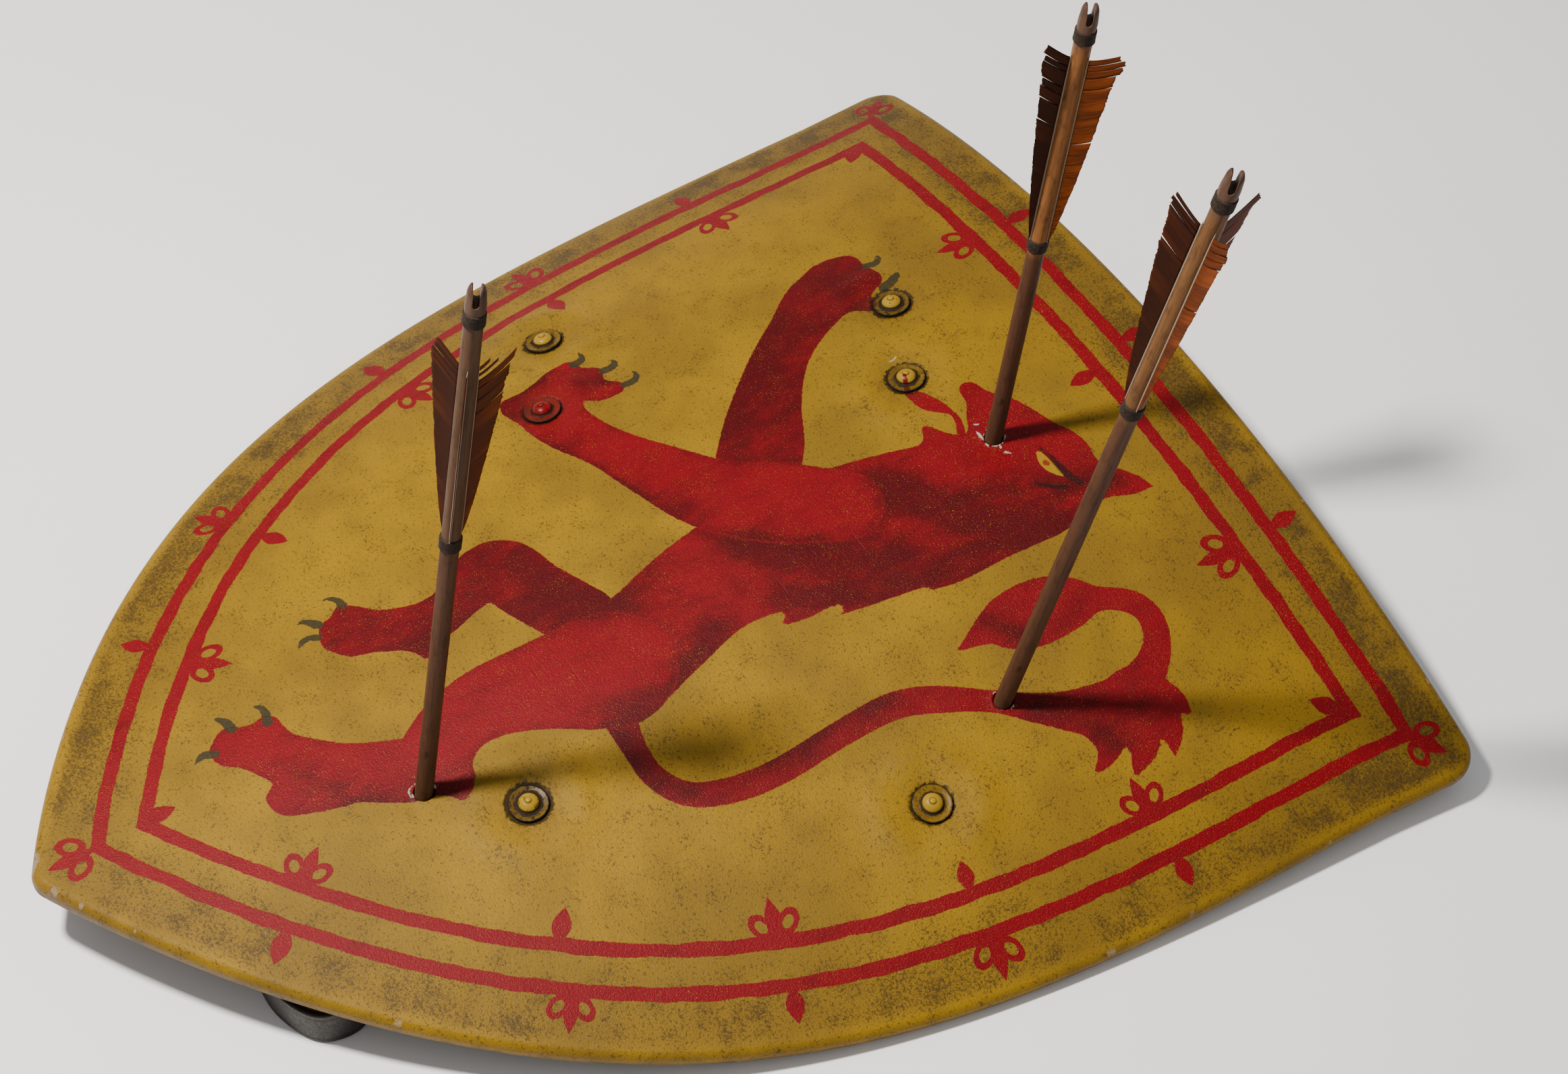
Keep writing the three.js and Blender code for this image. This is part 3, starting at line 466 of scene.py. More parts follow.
def coverPiece(material):
    base = rightSide(shield["edgeRounding"])
    rows, columns = len(base), cover["columns"]
    t = base[:, :1] * acrossShare
    t[0] = 0
    s = np.repeat(base[:, 1:2], columns + 1, 1)
    index = np.arange(rows * (columns + 1)).reshape(rows, columns + 1)
    keep = np.ones((rows - 1, columns), bool)
    height = faceHeight(t, s) * smoothStep(0, 12, base[:, :1] - np.abs(t))
    flat, faces = [np.stack([t, s, height], -1).reshape(-1, 3)], []

    def patch(centre, half, radii, blend):  # rings from a block of the grid in to a round hole
        row = int(np.argmin(np.abs(base[:, 1] - centre[1])))
        low, high = np.searchsorted(base[:, 1], [centre[1] - half, centre[1] + half])
        left, right = np.searchsorted(t[row], [centre[0] - half, centre[0] + half])
        keep[low:high, left:right] = False
        around = np.concatenate([index[low, left:right], index[low:high, right],
                                 index[high, right:left:-1], index[high:low:-1, left]])
        outer = np.stack([t.ravel()[around], s.ravel()[around]], -1) - centre
        reach = np.hypot(*outer.T)[:, None]
        way = outer / reach
        rings = [(way * (reach * (1 - w) + radii[0][0] * w), None) for w in np.linspace(0, 1, blend + 1)[1:]]
        rings += [(way * radius, fall) for radius, fall in radii[1:]]
        loops = [around]
        for ring, fall in rings + [(0 * way, rings[-1][1])]:
            deep = faceHeight(*(ring + centre).T) if fall is None else np.full(len(ring), fall)
            loops.append(numbered(flat, np.column_stack([ring + centre, deep])))
        faces.extend(bands(loops))

    for rivetT, rivetS, _ in rivets.values():
        sunk = [(radius, None) for radius in (15, 14, 13.2, 12.6, 12, 11.4)]
        patch(np.array([rivetT, rivetS]), 18, sunk + [(10.4, -1.2)], 2)
    for arrowT, arrowS, *_ in arrows.values():
        rim = cover["holeRadius"]
        lip = [(radius, None) for radius in (9, 8, 7.3, 6.7, 6.2, rim)]
        patch(np.array([arrowT, arrowS]), 11, lip + [(rim - 0.25, -0.5), (rim - 0.2, -cover["holeDepth"])], 1)

    quads = np.stack([index[:-1, :-1], index[:-1, 1:], index[1:, 1:], index[1:, :-1]], -1)
    faces.insert(0, quads[keep])
    rimIndex = np.concatenate([index[:1, 0], index[1:, -1], index[-1, -2:0:-1], index[:0:-1, 0]])

    # rim and turned margin: loops round the outline at an inset and a depth
    total, rounding, skin = shield["totalThickness"], shield["edgeRounding"], shield["coverThickness"]
    margin = shield["turnedMargin"]
    quarter = np.linspace(0, math.pi / 2, cover["rimSteps"] + 1)
    front = [(rounding * (1 - math.sin(a)), -rounding * (1 - math.cos(a))) for a in quarter[1:]]
    back = [(q, -total - n) for q, n in front[::-1]]
    back += [(q, -total) for q in (rounding, 8, 12, 16, 20, margin - 0.6)]
    inner = [(margin, -total + 0.5), (margin, -total + skin), (12, -total + skin), (rounding, -total + skin),
             (skin + 0.4, -total + skin + 1.4), (skin, -total / 2), (skin + 0.4, -skin - 1.4),
             (rounding, -skin - 0.35)]
    around = np.arange(len(rimIndex))
    along = np.where(around < len(around) / 2, around, len(around) - around) * 2.5
    loops = [rimIndex]
    for inset, depth in front + back + inner:
        loop = rimLoop(inset)
        place = along + np.sign(loop[:, 0]) * 200
        deep = np.full(len(loop), depth)
        if inset > 15:  # the cut edge of the margin wanders a little
            wave = cover["marginWave"] * softNoise(place + 500, along * 0 + 3, 34, 11)
            loop = loop + (rimLoop(inset + 1) - loop) * wave[:, None]
        if depth < -total + 0.01:  # small pleats in the turned leather
            deep = deep - 0.15 + 0.15 * softNoise(place + 900, along * 0 + inset * 3, 13, 12)
        loops.append(numbered(flat, np.column_stack([loop, deep])))
    faces += bands(loops)

    # inside of the face, coarse, because the board covers it
    faces += fillSheet(flat, loops[-1], rounding, cover["insideColumns"], lambda t, s: 0 * t - skin - 0.35)

    flat = np.concatenate(flat)
    used = np.unique(np.concatenate([part.ravel() for part in faces]))
    renamed = np.zeros(len(flat), int)
    renamed[used] = np.arange(len(used))
    flat = flat[used]
    attributes = paintAttributes(flat[:, 0], flat[:, 1])
    attributes["flat"] = flat
    attributes["ornament"][flat[:, 2] < -5, 2] = 0  # none on the back
    points = bend(*flat.T)
    points[:, 2] = np.maximum(points[:, 2], 0)  # the rim's back is worn flat where it lies
    return makePiece("paintedHide", points, [renamed[part] for part in faces], material,
                     ["painted_cover"], attributes)


# Camera: the photograph's own, from the fit of the outline, the border and the rivets
camera = {
    "place": (1089.9, -511.86, 1531.77), "forward": (-0.5622, 0.3135, -0.7652),
    "right": (0.5022, 0.8646, -0.0147), "lens": 81.5, "sensor": 36,
}


def axesMatrix(right, up, back):
    return Matrix([[right[i], up[i], back[i]] for i in range(3)])


def makeCamera():
    forward = unit(np.array(camera["forward"]))
    right = unit(np.array(camera["right"]) - forward * (forward @ camera["right"]))
    data = bpy.data.cameras.new("photoCamera")
    data.lens, data.sensor_width = camera["lens"], camera["sensor"]
    data.clip_start, data.clip_end = 0.05, 60
    eye = bpy.data.objects.new("photoCamera", data)
    turn = axesMatrix(right, np.cross(right, forward), -forward).to_4x4()
    turn.translation = np.array(camera["place"]) * millimetre
    eye.matrix_world = turn
    bpy.context.scene.collection.objects.link(eye)
    bpy.context.scene.camera = eye


makeCamera()
print("camera set")


# Nodes: small helpers that every material uses
class Signal:  # a node's output, which adds up, multiplies and so on like a number
    def __init__(self, socket):
        self.socket = socket

    def __add__(self, other):
        return calc("ADD", self, other)

    def __sub__(self, other):
        return calc("SUBTRACT", self, other)

    def __rsub__(self, other):
        return calc("SUBTRACT", other, self)

    def __mul__(self, other):
        return calc("MULTIPLY", self, other)

    def __truediv__(self, other):
        return calc("DIVIDE", self, other)

    def __rtruediv__(self, other):
        return calc("DIVIDE", other, self)

    def __pow__(self, other):
        return calc("POWER", self, other)

    def __abs__(self):
        return calc("ABSOLUTE", self)


def addNode(tree, kind, inputs=None, **settings):
    node = tree.nodes.new("ShaderNode" + kind)
    for key, value in settings.items():
        setattr(node, key, value)
    for key, value in (inputs or {}).items():
        socket = node.inputs[key]
        if isinstance(value, Signal):
            tree.links.new(value.socket, socket)
        elif socket.type == "RGBA":
            socket.default_value = (*value, 1)
        else:
            socket.default_value = value
    return node


def madeNode(kind, inputs, **settings):  # a node in the tree of its first signal
    tree = next(value.socket.id_data for value in inputs.values() if isinstance(value, Signal))
    return addNode(tree, kind, inputs, **settings)


def made(kind, inputs, output=0, **settings):
    return Signal(madeNode(kind, inputs, **settings).outputs[output])


def calc(operation, *values):
    return made("Math", dict(enumerate(values)), operation=operation)


def lowest(first, *others):
    for value in others:
        first = calc("MINIMUM", first, value)
    return first


def highest(first, *others):
    for value in others:
        first = calc("MAXIMUM", first, value)
    return first


def ramp(value, low, high, start=0, end=1):  # eased from start at low to end at high
    sockets = {"Value": value, "From Min": low, "From Max": high, "To Min": start, "To Max": end}
    return made("MapRange", sockets, interpolation_type="SMOOTHSTEP")


def mixColour(share, a, b):
    return made("Mix", {0: share, 6: a, 7: b}, 2, data_type="RGBA")


def layered(colour, *layers):  # tones laid over a colour, each with its share
    for share, tone in layers:
        colour = mixColour(share, colour, tone)
    return colour


def noise(vector, size, detail=2, roughness=0.5, distortion=0):
    return made("TexNoise", {"Vector": vector, "Scale": 1 / size, "Detail": detail, "Roughness": roughness,
                             "Distortion": distortion})


def stretched(vector, factors):
    return made("VectorMath", {0: vector, 1: factors}, operation="MULTIPLY")


def combined(x, y, z=0):
    return made("CombineXYZ", {0: x, 1: y, 2: z})


def split(vector):
    return [Signal(socket) for socket in madeNode("SeparateXYZ", {0: vector}).outputs]


def readAttribute(tree, name):
    node = addNode(tree, "Attribute", attribute_name=name, attribute_type="GEOMETRY")
    return Signal(node.outputs["Vector"])


def objectPlace(tree):  # the place on the piece in millimetres
    inMetres = Signal(addNode(tree, "TexCoord").outputs["Object"])
    return stretched(inMetres, (1 / millimetre,) * 3)


def makeGroup(name, vectors, numbers, outputs):  # an empty node group, its inputs, and what links an output
    tree = bpy.data.node_groups.new(name, "ShaderNodeTree")
    for label in vectors:
        tree.interface.new_socket(label, in_out="INPUT", socket_type="NodeSocketVector")
    for label, value in numbers.items():
        tree.interface.new_socket(label, in_out="INPUT", socket_type="NodeSocketFloat").default_value = value
    for label in outputs:
        kind = "NodeSocketColor" if label == "Colour" else "NodeSocketFloat"
        tree.interface.new_socket(label, in_out="OUTPUT", socket_type=kind)
    given = {socket.name: Signal(socket) for socket in tree.nodes.new("NodeGroupInput").outputs}
    result = tree.nodes.new("NodeGroupOutput").inputs
    return tree, given, lambda label, signal: tree.links.new(signal.socket, result[label])


def useGroup(group, **inputs):
    return {socket.name: Signal(socket) for socket in madeNode("Group", inputs, node_tree=group).outputs}


def startMaterial():
    material = bpy.data.materials.new("unfinished")
    material.use_nodes = True
    material.node_tree.nodes.clear()
    return material.node_tree


def newMaterial(name, colour, roughness, height=None, bump=0.5, depth=0.0005, gloss=0.5, metal=0):
    sockets = {"Base Color": colour, "Roughness": roughness, "Metallic": metal, "Specular IOR Level": gloss}
    if height:
        sockets["Normal"] = made("Bump", {"Strength": bump, "Distance": depth, "Height": height})
    shader = made("BsdfPrincipled", sockets)
    madeNode("OutputMaterial", {"Surface": shader})
    material = next(m for m in bpy.data.materials if m.node_tree == colour.socket.id_data)
    material.name = name
    return material


# Shared effects. Vectors are in millimetres.
def makeSpecks():  # elongated flecks where fine noise rises over a level set by the amount
    tree, given, give = makeGroup("specks", ["Vector"], {"Size": 1, "Amount": 0.1}, ["Mask"])
    fine = noise(given["Vector"], given["Size"], 2, 0.6)
    give("Mask", ramp(fine + given["Amount"], 0.74, 0.82))
    return tree


def makeMottling():  # three sizes of cloudy noise
    tree, given, give = makeGroup("mottling", ["Vector"], {"Size": 40}, ["Slow", "Middle", "Fine"])
    for label, share, detail in (("Slow", 1, 3), ("Middle", 5, 4), ("Fine", 24, 4)):
        give(label, noise(given["Vector"], given["Size"] / share, detail, 0.6))
    return tree


def makeLeatherGrain():  # pebbled cells with fine pores between them
    tree, given, give = makeGroup("leatherGrain", ["Vector"], {"Size": 1.2}, ["Height"])
    cells = made("TexVoronoi", {"Vector": given["Vector"], "Scale": 1 / given["Size"]}, "Distance")
    give("Height", noise(given["Vector"], given["Size"] / 2.3, 3) * 0.8 + cells * 0.5)
    return tree


def makeWoodGrain():  # long fibres: noise drawn out along Z, in three sizes
    tree, given, give = makeGroup("woodGrain", ["Vector"], {"Size": 2}, ["Fibre", "Ring", "Pore"])
    drawn = stretched(given["Vector"], (1, 1, 0.05))
    for label, times, detail in (("Ring", 0.35, 1.5), ("Fibre", 1.6, 4), ("Pore", 6, 2)):
        give(label, noise(drawn, given["Size"] / times, detail, 0.6, 0.3))
    return tree


specks, mottling, leatherGrain, woodGrain = makeSpecks(), makeMottling(), makeLeatherGrain(), makeWoodGrain()

paint = {
    "yellow": (0.238, 0.132, 0.004), "yellowDull": (0.158, 0.088, 0.006), "brown": (0.034, 0.019, 0.006),
    # the black below is dirt at the rivets and painted shade inside the arrow holes
    "black": (0.008, 0.004, 0.002), "red": (0.150, 0.0006, 0.004), "redDark": (0.055, 0.0002, 0.0015),
    "claw": (0.019, 0.019, 0.009), "ink": (0.014, 0.002, 0.002), "bare": (0.34, 0.27, 0.21),
    "scuff": (0.17, 0.105, 0.07), "head": (0.30, 0.18, 0.012), "softEdge": 0.22, "gloss": 0.115,
    "lineWobble": 2.88, "brushEdge": 1.5,
    "petal": (4.2, 24, 11.5), "leaf": (4.8, 19.5, 10),  # half width, length and height of the widest place
    "ringPlace": (6.9, 9.5), "ringRadius": 5.3, "ringHalfWidth": 1.8,
    "specks": ((1.9, 0.62), (1, 0.6)), "speckAmount": 0.138,  # sizes with their strengths
    # the top end's darkening is partly dirt and partly painted shade
    "soiledBand": 0.48, "soiledPatches": 0.07, "topDirtAndShade": 0.16,
}
paintInputs = ("Flat", "Insets", "Ornament", "Limbs", "Details", "Eyes", "Marks", "Wear")


def makePaintwork():  # the picture's colours from its distances, what has worn or soiled them, and painted shade and glints over them
    tree, given, give = makeGroup("paintwork", paintInputs, {}, ["Colour", "Red", "Dirt", "Bare"])
    place = given["Flat"]
    across, up, _ = split(place)
    side, top, edge = split(given["Insets"])
    u, v, kind = split(given["Ornament"])
    near, far, body = split(given["Limbs"])
    claw, ink, tongue = split(given["Details"])
    eye, iris, shadow = split(given["Eyes"])
    rivetAway, holeAway, dirty = split(given["Marks"])
    flake, torn, _ = split(given["Wear"])
    wide = noise(place, 16, 1) - 0.5
    narrow = noise(place, 2.2, 3, 0.6) - 0.5
    wobble = wide * paint["lineWobble"] + narrow * paint["brushEdge"]
    brush = narrow * 1.6
    soft = paint["softEdge"]

    def lineDistance(name):
        sideLine, topLine = border[name + "Line"], border["top" + name.capitalize() + "Line"]
        return abs(lowest(side - sideLine, top - topLine) + wobble) - border["lineWidth"] / 2

    def petal(width, length, belly):
        return wideU - (1 - abs((v - belly) / (length - belly)) ** 1.7) * width

    # flower: two leaning rings beside a pointed petal; leaf: one pointed petal
    wideU = abs(u)
    ringU, ringV = paint["ringPlace"]
    leaning = (v - ringV) * -0.3 + (wideU - ringU)
    ringAway = made("VectorMath", {0: combined(leaning * 1.22, v - ringV)}, "Value", operation="LENGTH")
    flower = lowest(abs(ringAway - paint["ringRadius"]) - paint["ringHalfWidth"], petal(*paint["petal"]))
    isFlower, isAny = calc("GREATER_THAN", kind, 1.5), calc("GREATER_THAN", kind, 0.6)
    motif = flower * isFlower + petal(*paint["leaf"]) * (1 - isFlower) + (1 - isAny) * 50
    trim = lowest(lineDistance("outer"), lineDistance("inner"), highest(motif, -2 - v) + brush)
    figure = lowest(near, far, body, tongue) + brush
    redMask = ramp(lowest(trim, figure), soft, -soft)

    # yellow ground, soiled towards the border, darker towards the top end with dirt and painted shade, and
    # sprinkled with specks
    cloud = useGroup(mottling, Vector=place, Size=85)
    grain = useGroup(mottling, Vector=stretched(place, (0.45, 1, 1)), Size=30)
    edgeward = ramp(edge, 62, 16) * ramp(edge, 3.5, 12)
    heavy = highest(ramp(across, 160, -160, 0.65, 1), ramp(up, 480, 640))
    uneven = ramp(cloud["Middle"] * 0.6 + cloud["Slow"], 0.62, 0.95, 0.3, 1)
    band = edgeward * heavy * uneven
    patches = ramp(cloud["Middle"], 0.46, 0.68)
    # darker towards the top end: partly dirt, partly painted shade
    topEndDirtAndShade = ramp(cloud["Slow"] * 120 + up, 520, 720, 0, paint["topDirtAndShade"])
    ground = mixColour(ramp(cloud["Slow"], 0.35, 0.65), paint["yellowDull"], paint["yellow"])
    dirtAndTopShade = band * paint["soiledBand"] + patches * paint["soiledPatches"] + topEndDirtAndShade
    ground = mixColour(dirtAndTopShade, ground, paint["brown"])
    amount = band * 0.15 + (patches * 0.06 + paint["speckAmount"])
    for size, strength in paint["specks"]:
        fleck = useGroup(specks, Vector=place, Size=size, Amount=amount)["Mask"]
        ground = mixColour(fleck * strength, ground, paint["brown"])
    ground = mixColour(ramp(grain["Fine"], 0.42, 0.62) * 0.25, ground, paint["yellowDull"])

    # red, with the far limbs and the shadowed sides darker
    inNear, inBody, inFar = (ramp(distance + brush, 0.8, -0.8) for distance in (near, body, far))
    inFront = highest(inNear, inBody)
    nearShade = shadow * 0.55 + ramp(near, -6, 0, 0, 0.22)
    bodyShade = shadow * 0.66 + ramp(near, 12, 0, 0.08, 0.3)
    shade = made("Mix", {0: inNear, 2: bodyShade, 3: nearShade})
    shade = highest(shade * inFront, inFar * (1 - inFront) * (shadow * 0.35 + 0.5))
    coarse = noise(stretched(place, (1, 0.6, 1)), 26, 3, 0.6) - 0.48
    stroke = coarse * 0.9 + (noise(stretched(place, (1, 0.45, 1)), 8, 5, 0.7) - 0.47)
    red = mixColour(ramp(stroke * 1.25 + shade, -0.1, 1), paint["red"], paint["redDark"])
    red = mixColour(inBody * ramp(abs(near), 1.6, 0.2) * 0.35, red, paint["red"])
    clawMask = ramp(claw + brush, soft, -soft)

    # worn flecks that are partly painted highlight glints, chips round the arrow holes with painted shade
    # inside them, dark rings round the rivets
    wornFlecksAndGlints = useGroup(specks, Vector=place, Size=0.62, Amount=cloud["Middle"] * 0.14 + 0.02)["Mask"]
    rim = ramp(narrow * 3 + holeAway, 7, 6.4) * ramp(holeAway, 5.4, 5.8)
    chips = ramp(flake + narrow * 1.6, 0.15, -0.15)
    bare = highest(rim * ramp(torn * 0.14 + noise(place, 5), 0.6, 0.64), chips)
    smudge = ramp(wide * 14 + rivetAway, 23, 11) * ramp(noise(place, 4, 4), 0.35, 0.7, 0.1, 0.6)
    smudge = smudge * (dirty * 0.7 + 0.3)
    fringe = dirty * -1.8 + (narrow * 6 + rivetAway)
    crevice = ramp(fringe, 12, 10.5) * ramp(rivetAway, 9.8, 10.6)
    colour = layered(
        ground, (redMask, red),
        (clawMask * 0.93, mixColour(ramp(narrow, -0.05, 0.15), paint["claw"], paint["brown"])),
        (ramp(eye + brush * 0.4, 0.2, -0.2), paint["yellow"]), (ramp(iris, 0.3, -0.3, 0, 0.85), paint["red"]),
        (ramp(brush * 0.8 + ink, 0.9, -0.5, 0, 0.85), paint["ink"]),
        # pale flecks on the red and the claws: worn paint and painted highlight glints
        (wornFlecksAndGlints * redMask * 0.85, paint["head"]), (wornFlecksAndGlints * clawMask * 0.7, paint["yellowDull"]),
        # black inside each arrow hole is painted shade of the deep hole
        (bare, paint["bare"]), (ramp(holeAway, 5.7, 5.3), paint["black"]),
        (smudge * 0.7, paint["brown"]), (crevice * 0.86, paint["black"]))
    dirt = highest(smudge, crevice)
    for label, signal in (("Colour", colour), ("Red", redMask), ("Dirt", dirt), ("Bare", bare)):
        give(label, signal)
    return tree


paintwork = makePaintwork()


def paintedOutputs(tree):
    return useGroup(paintwork, **{label: readAttribute(tree, label.lower()) for label in paintInputs})


def hideMaterial():  # the paint over grained hide, worn to the bare skin at the corners and along the rim
    tree = startMaterial()
    painted = paintedOutputs(tree)
    place = readAttribute(tree, "flat")
    depth = split(place)[2]
    side, top, edge = split(readAttribute(tree, "insets"))
    clouds = useGroup(mottling, Vector=place, Size=60)
    cloud = clouds["Middle"]
    crest = ramp(abs(depth + 1.4), 1.5, 0.4) * ramp(edge, 4.6, 3.4)
    corner = highest(ramp(side + top, 26, 12), ramp(shield["length"] - top, 18, 5))
    level = corner * -0.12 + 0.63
    worn = ramp(cloud - level, 0, 0.025) * highest(crest, corner * ramp(edge, 6, 3))
    scuffed = corner * ramp(depth, -0.6, -3) * ramp(cloud, 0.36, 0.5) * 0.75
    # the rim's side darkens towards the back, in blotches
    rimDarkerTowardsBack = ramp(depth, -2, -9, 0.25, 1) * ramp(edge, 5, 3.5) * ramp(cloud, 0.4, 0.64, 0.15, 0.6)
    behind = ramp(depth, -12.4, -13.3) * ramp(cloud, 0.3, 0.7, 0.35, 0.8)
    colour = layered(painted["Colour"], (scuffed, paint["scuff"]), (worn * 0.5, paint["bare"]),
                     (rimDarkerTowardsBack, paint["brown"]), (behind, paint["brown"]))
    grain = useGroup(leatherGrain, Vector=place, Size=1.1)["Height"]
    scratch = ramp(noise(stretched(place, (0.04, 1.1, 1)), 2.5, 2), 0.7, 0.78)
    height = painted["Bare"] * -1.2 + (scratch * -0.35 + (painted["Red"] * 0.35 + grain))
    rough = painted["Dirt"] * 0.2 + (clouds["Fine"] * 0.22 + 0.32)
    rough = highest(worn, painted["Bare"]) * 0.25 + rough
    return newMaterial("paintedHide", colour, rough, height, 0.6, 0.0004, paint["gloss"])


hidePiece = coverPiece(hideMaterial())
print("painted hide made:", len(hidePiece.data.vertices), "points")


def faceFrame(t, s):  # foot on the face and the directions across, up and out of it
    angle = t / shield["bendRadius"]
    axes = [(math.cos(angle), 0, -math.sin(angle)), (0, 1, 0), (math.sin(angle), 0, math.cos(angle))]
    return bend(t, s, 0), turnDown(axes)


def revolve(profile, sides):  # radius and height pairs turned once about the axis
    angle = np.linspace(0, 2 * math.pi, sides, endpoint=False)
    radius, height = np.asarray(profile, float).T[:, :, None]
    return np.stack([radius * np.cos(angle), radius * np.sin(angle), height + 0 * angle], -1)


fastening = {
    "sides": 48, "shankRadius": 2.4, "headRadius": 5.6, "headSeat": 1.0, "headTop": 4.0, "nubRadius": 1.65,
    "nubHeight": 0.75, "washerRadius": 10.8, "burrRadius": 7.5, "burrThickness": 1.2, "tailRadius": 4.2,
}
strapFace = -shield["coverThickness"] - shield["boardThickness"] - 2 * shield["fitGap"]


def rivetProfile(seat):  # domed head with a small round nub, the shank, and the hammered tail
    head, top, seatHigh = fastening["headRadius"], fastening["headTop"], fastening["headSeat"]
    nub = fastening["nubRadius"]
    crown = np.linspace(0, math.pi / 2, 7)
    nubPart = [(nub * math.sin(a), top + fastening["nubHeight"] * math.cos(a)) for a in crown]
    dome = np.linspace(nub + 0.45, head, 12)
    domePart = [(r, seatHigh + (top - seatHigh) * (1 - (r / head) ** 2.6) ** 0.75) for r in dome]
    groove = [(nub + 0.2, domePart[0][1] - 0.15)]
    tail = fastening["tailRadius"]
    tailPart = [(tail * math.cos(a), seat - 2 * math.sin(a)) for a in np.linspace(0, math.pi / 2, 6)]
    shank = [(head - 0.2, seatHigh - 0.25), (fastening["shankRadius"], seatHigh - 0.25),
             (fastening["shankRadius"], seat)]
    return nubPart + groove + domePart + shank + tailPart


def washerProfile():  # a dished ring with a rolled edge
    edge, inner = fastening["washerRadius"], fastening["shankRadius"] + shield["fitGap"]
    return [(inner, 0.7), (5.4, 0.7), (6.0, 0.28), (6.8, 0.02), (7.7, -0.02), (8.6, 0.14), (9.4, 0.42),
            (10.0, 0.58), (10.5, 0.5), (edge, 0.22), (edge, -0.5), (inner, -0.5), (inner, 0.7)]


def burrProfile(top):
    edge, inner = fastening["burrRadius"], fastening["shankRadius"] + shield["fitGap"]
    bottom = top - fastening["burrThickness"]
    return [(inner, top), (edge - 0.2, top), (edge, top - 0.3), (edge, bottom + 0.3), (edge - 0.4, bottom),
            (inner, bottom), (inner, top)]


def placeTurned(name, profile, t, s, material, node, crease):
    points = revolve(profile, fastening["sides"])
    foot, axes = faceFrame(t, s)
    flatT, flatS = t + points[..., 0].ravel(), s + points[..., 1].ravel()
    attributes = paintAttributes(flatT, flatS)
    attributes["flat"] = np.stack([flatT, flatS, points[..., 2].ravel()], -1)
    return makePiece(name, foot + points @ axes, None, material, [node], attributes, crease)


iron = {"colour": (0.13, 0.12, 0.11), "tail": (0.035, 0.03, 0.026), "rust": (0.12, 0.05, 0.025), "size": 9}


def ironPaintMaterial():  # the face's colours over iron, dark in the creases and bare on the high spots
    tree = startMaterial()
    painted = paintedOutputs(tree)
    place = readAttribute(tree, "flat")
    away, _, dirty = split(readAttribute(tree, "marks"))
    high = split(place)[2]
    clouds = useGroup(mottling, Vector=place, Size=14)
    cloud = clouds["Middle"]
    ragged = cloud - 0.5
    reach = dirty * -1.3 + (ragged * 5 + away)
    creaseHead = ramp(reach, 7, 5.9) * ramp(away, 5.1, 5.6)
    creaseEdge = ramp(dirty * 0.6 + (ragged * 3 + away), 10.3, 11.2)
    nubRing = ramp(away, 1.4, 1.8) * ramp(away, 2.6, 2)
    onWasher = ramp(high, 0.95, 0.75)
    chipped = ramp(cloud, 0.58, 0.61) * ramp(dirty, 0.5, 0.9, 0, 0.8)
    dirt = highest(creaseHead, creaseEdge, nubRing * 0.45, chipped)
    # the top of a red head is rubbed through to the yellow
    rubbed = painted["Red"] * ramp(high, 4.35, 4.6) * ramp(clouds["Slow"], 0.44, 0.5)
    colour = layered(
        painted["Colour"], (rubbed, paint["yellow"]),
        ((1 - onWasher) * (1 - painted["Red"]) * 0.8, paint["head"]),
        (onWasher * (dirty * 0.38 + ramp(cloud, 0.35, 0.65, 0, 0.4)), paint["brown"]),
        (dirt * 0.9, paint["black"]), (ramp(high, -6, -7), iron["tail"]))
    return newMaterial("paintedIron", colour, dirt * 0.4 + 0.3, clouds["Fine"], 0.4, 0.0002, paint["gloss"])


def ironMaterial():  # dark forged iron, clouded with rust
    clouds = useGroup(mottling, Vector=objectPlace(startMaterial()), Size=iron["size"])
    rust = ramp(clouds["Middle"], 0.45, 0.62)
    colour = mixColour(rust, iron["colour"], iron["rust"])
    rough = ramp(clouds["Fine"], 0.3, 0.7, 0.38, 0.75)
    metal = ramp(rust, 0, 1, 0.9, 0.1)
    return newMaterial("bareIron", colour, rough, clouds["Fine"], 0.4, 0.0004, metal=metal)


paintedIron, bareIron = ironPaintMaterial(), ironMaterial()
for rivetName, (rivetT, rivetS, strapDepth) in rivets.items():
    words = rivetName.split("_")
    label = words[0] + words[2].capitalize()
    burrTop = strapFace - strapDepth - shield["fitGap"]
    rivetSeat = burrTop - fastening["burrThickness"] - shield["fitGap"]
    for part, ending, profile, material, slot, crease in (
            ("Rivet", "", rivetProfile(rivetSeat), paintedIron, "painted_iron", 50),
            ("Washer", "_washer", washerProfile(), paintedIron, "painted_iron", 50),
            ("Burr", "_burr", burrProfile(burrTop), bareIron, "bare_iron", 35)):
        placeTurned(label + part, profile, rivetT, rivetS, material, rivetName + ending, crease)
print("rivets made")


# Board: planks with hollowed joints on the back
plank = {
    "joints": (-204, -101, 8, 112, 209), "jointDepth": 0.7, "jointWidth": 2.6, "toolMarks": 0.16,
    "markSize": (17, 46), "columns": 150, "light": (0.26, 0.155, 0.07), "dark": (0.10, 0.052, 0.024),
    "soot": (0.03, 0.02, 0.014),
}


def plankHeight(t, s):  # the back's depth: hollow joints, and shallow waves left by the plane
    height = -shield["coverThickness"] - shield["fitGap"] - shield["boardThickness"]
    height = height + plank["toolMarks"] * softNoise(t + 900, s * plank["markSize"][0] / plank["markSize"][1],
                                                     plank["markSize"][0], 21)
    for joint in plank["joints"]:
        bent = joint + 1.2 * softNoise(s + joint * 7, s * 0, 90, 22)
        height = height + plank["jointDepth"] * np.exp(-((t - bent) / plank["jointWidth"]) ** 2)
    return np.minimum(height, -shield["coverThickness"] - 3)


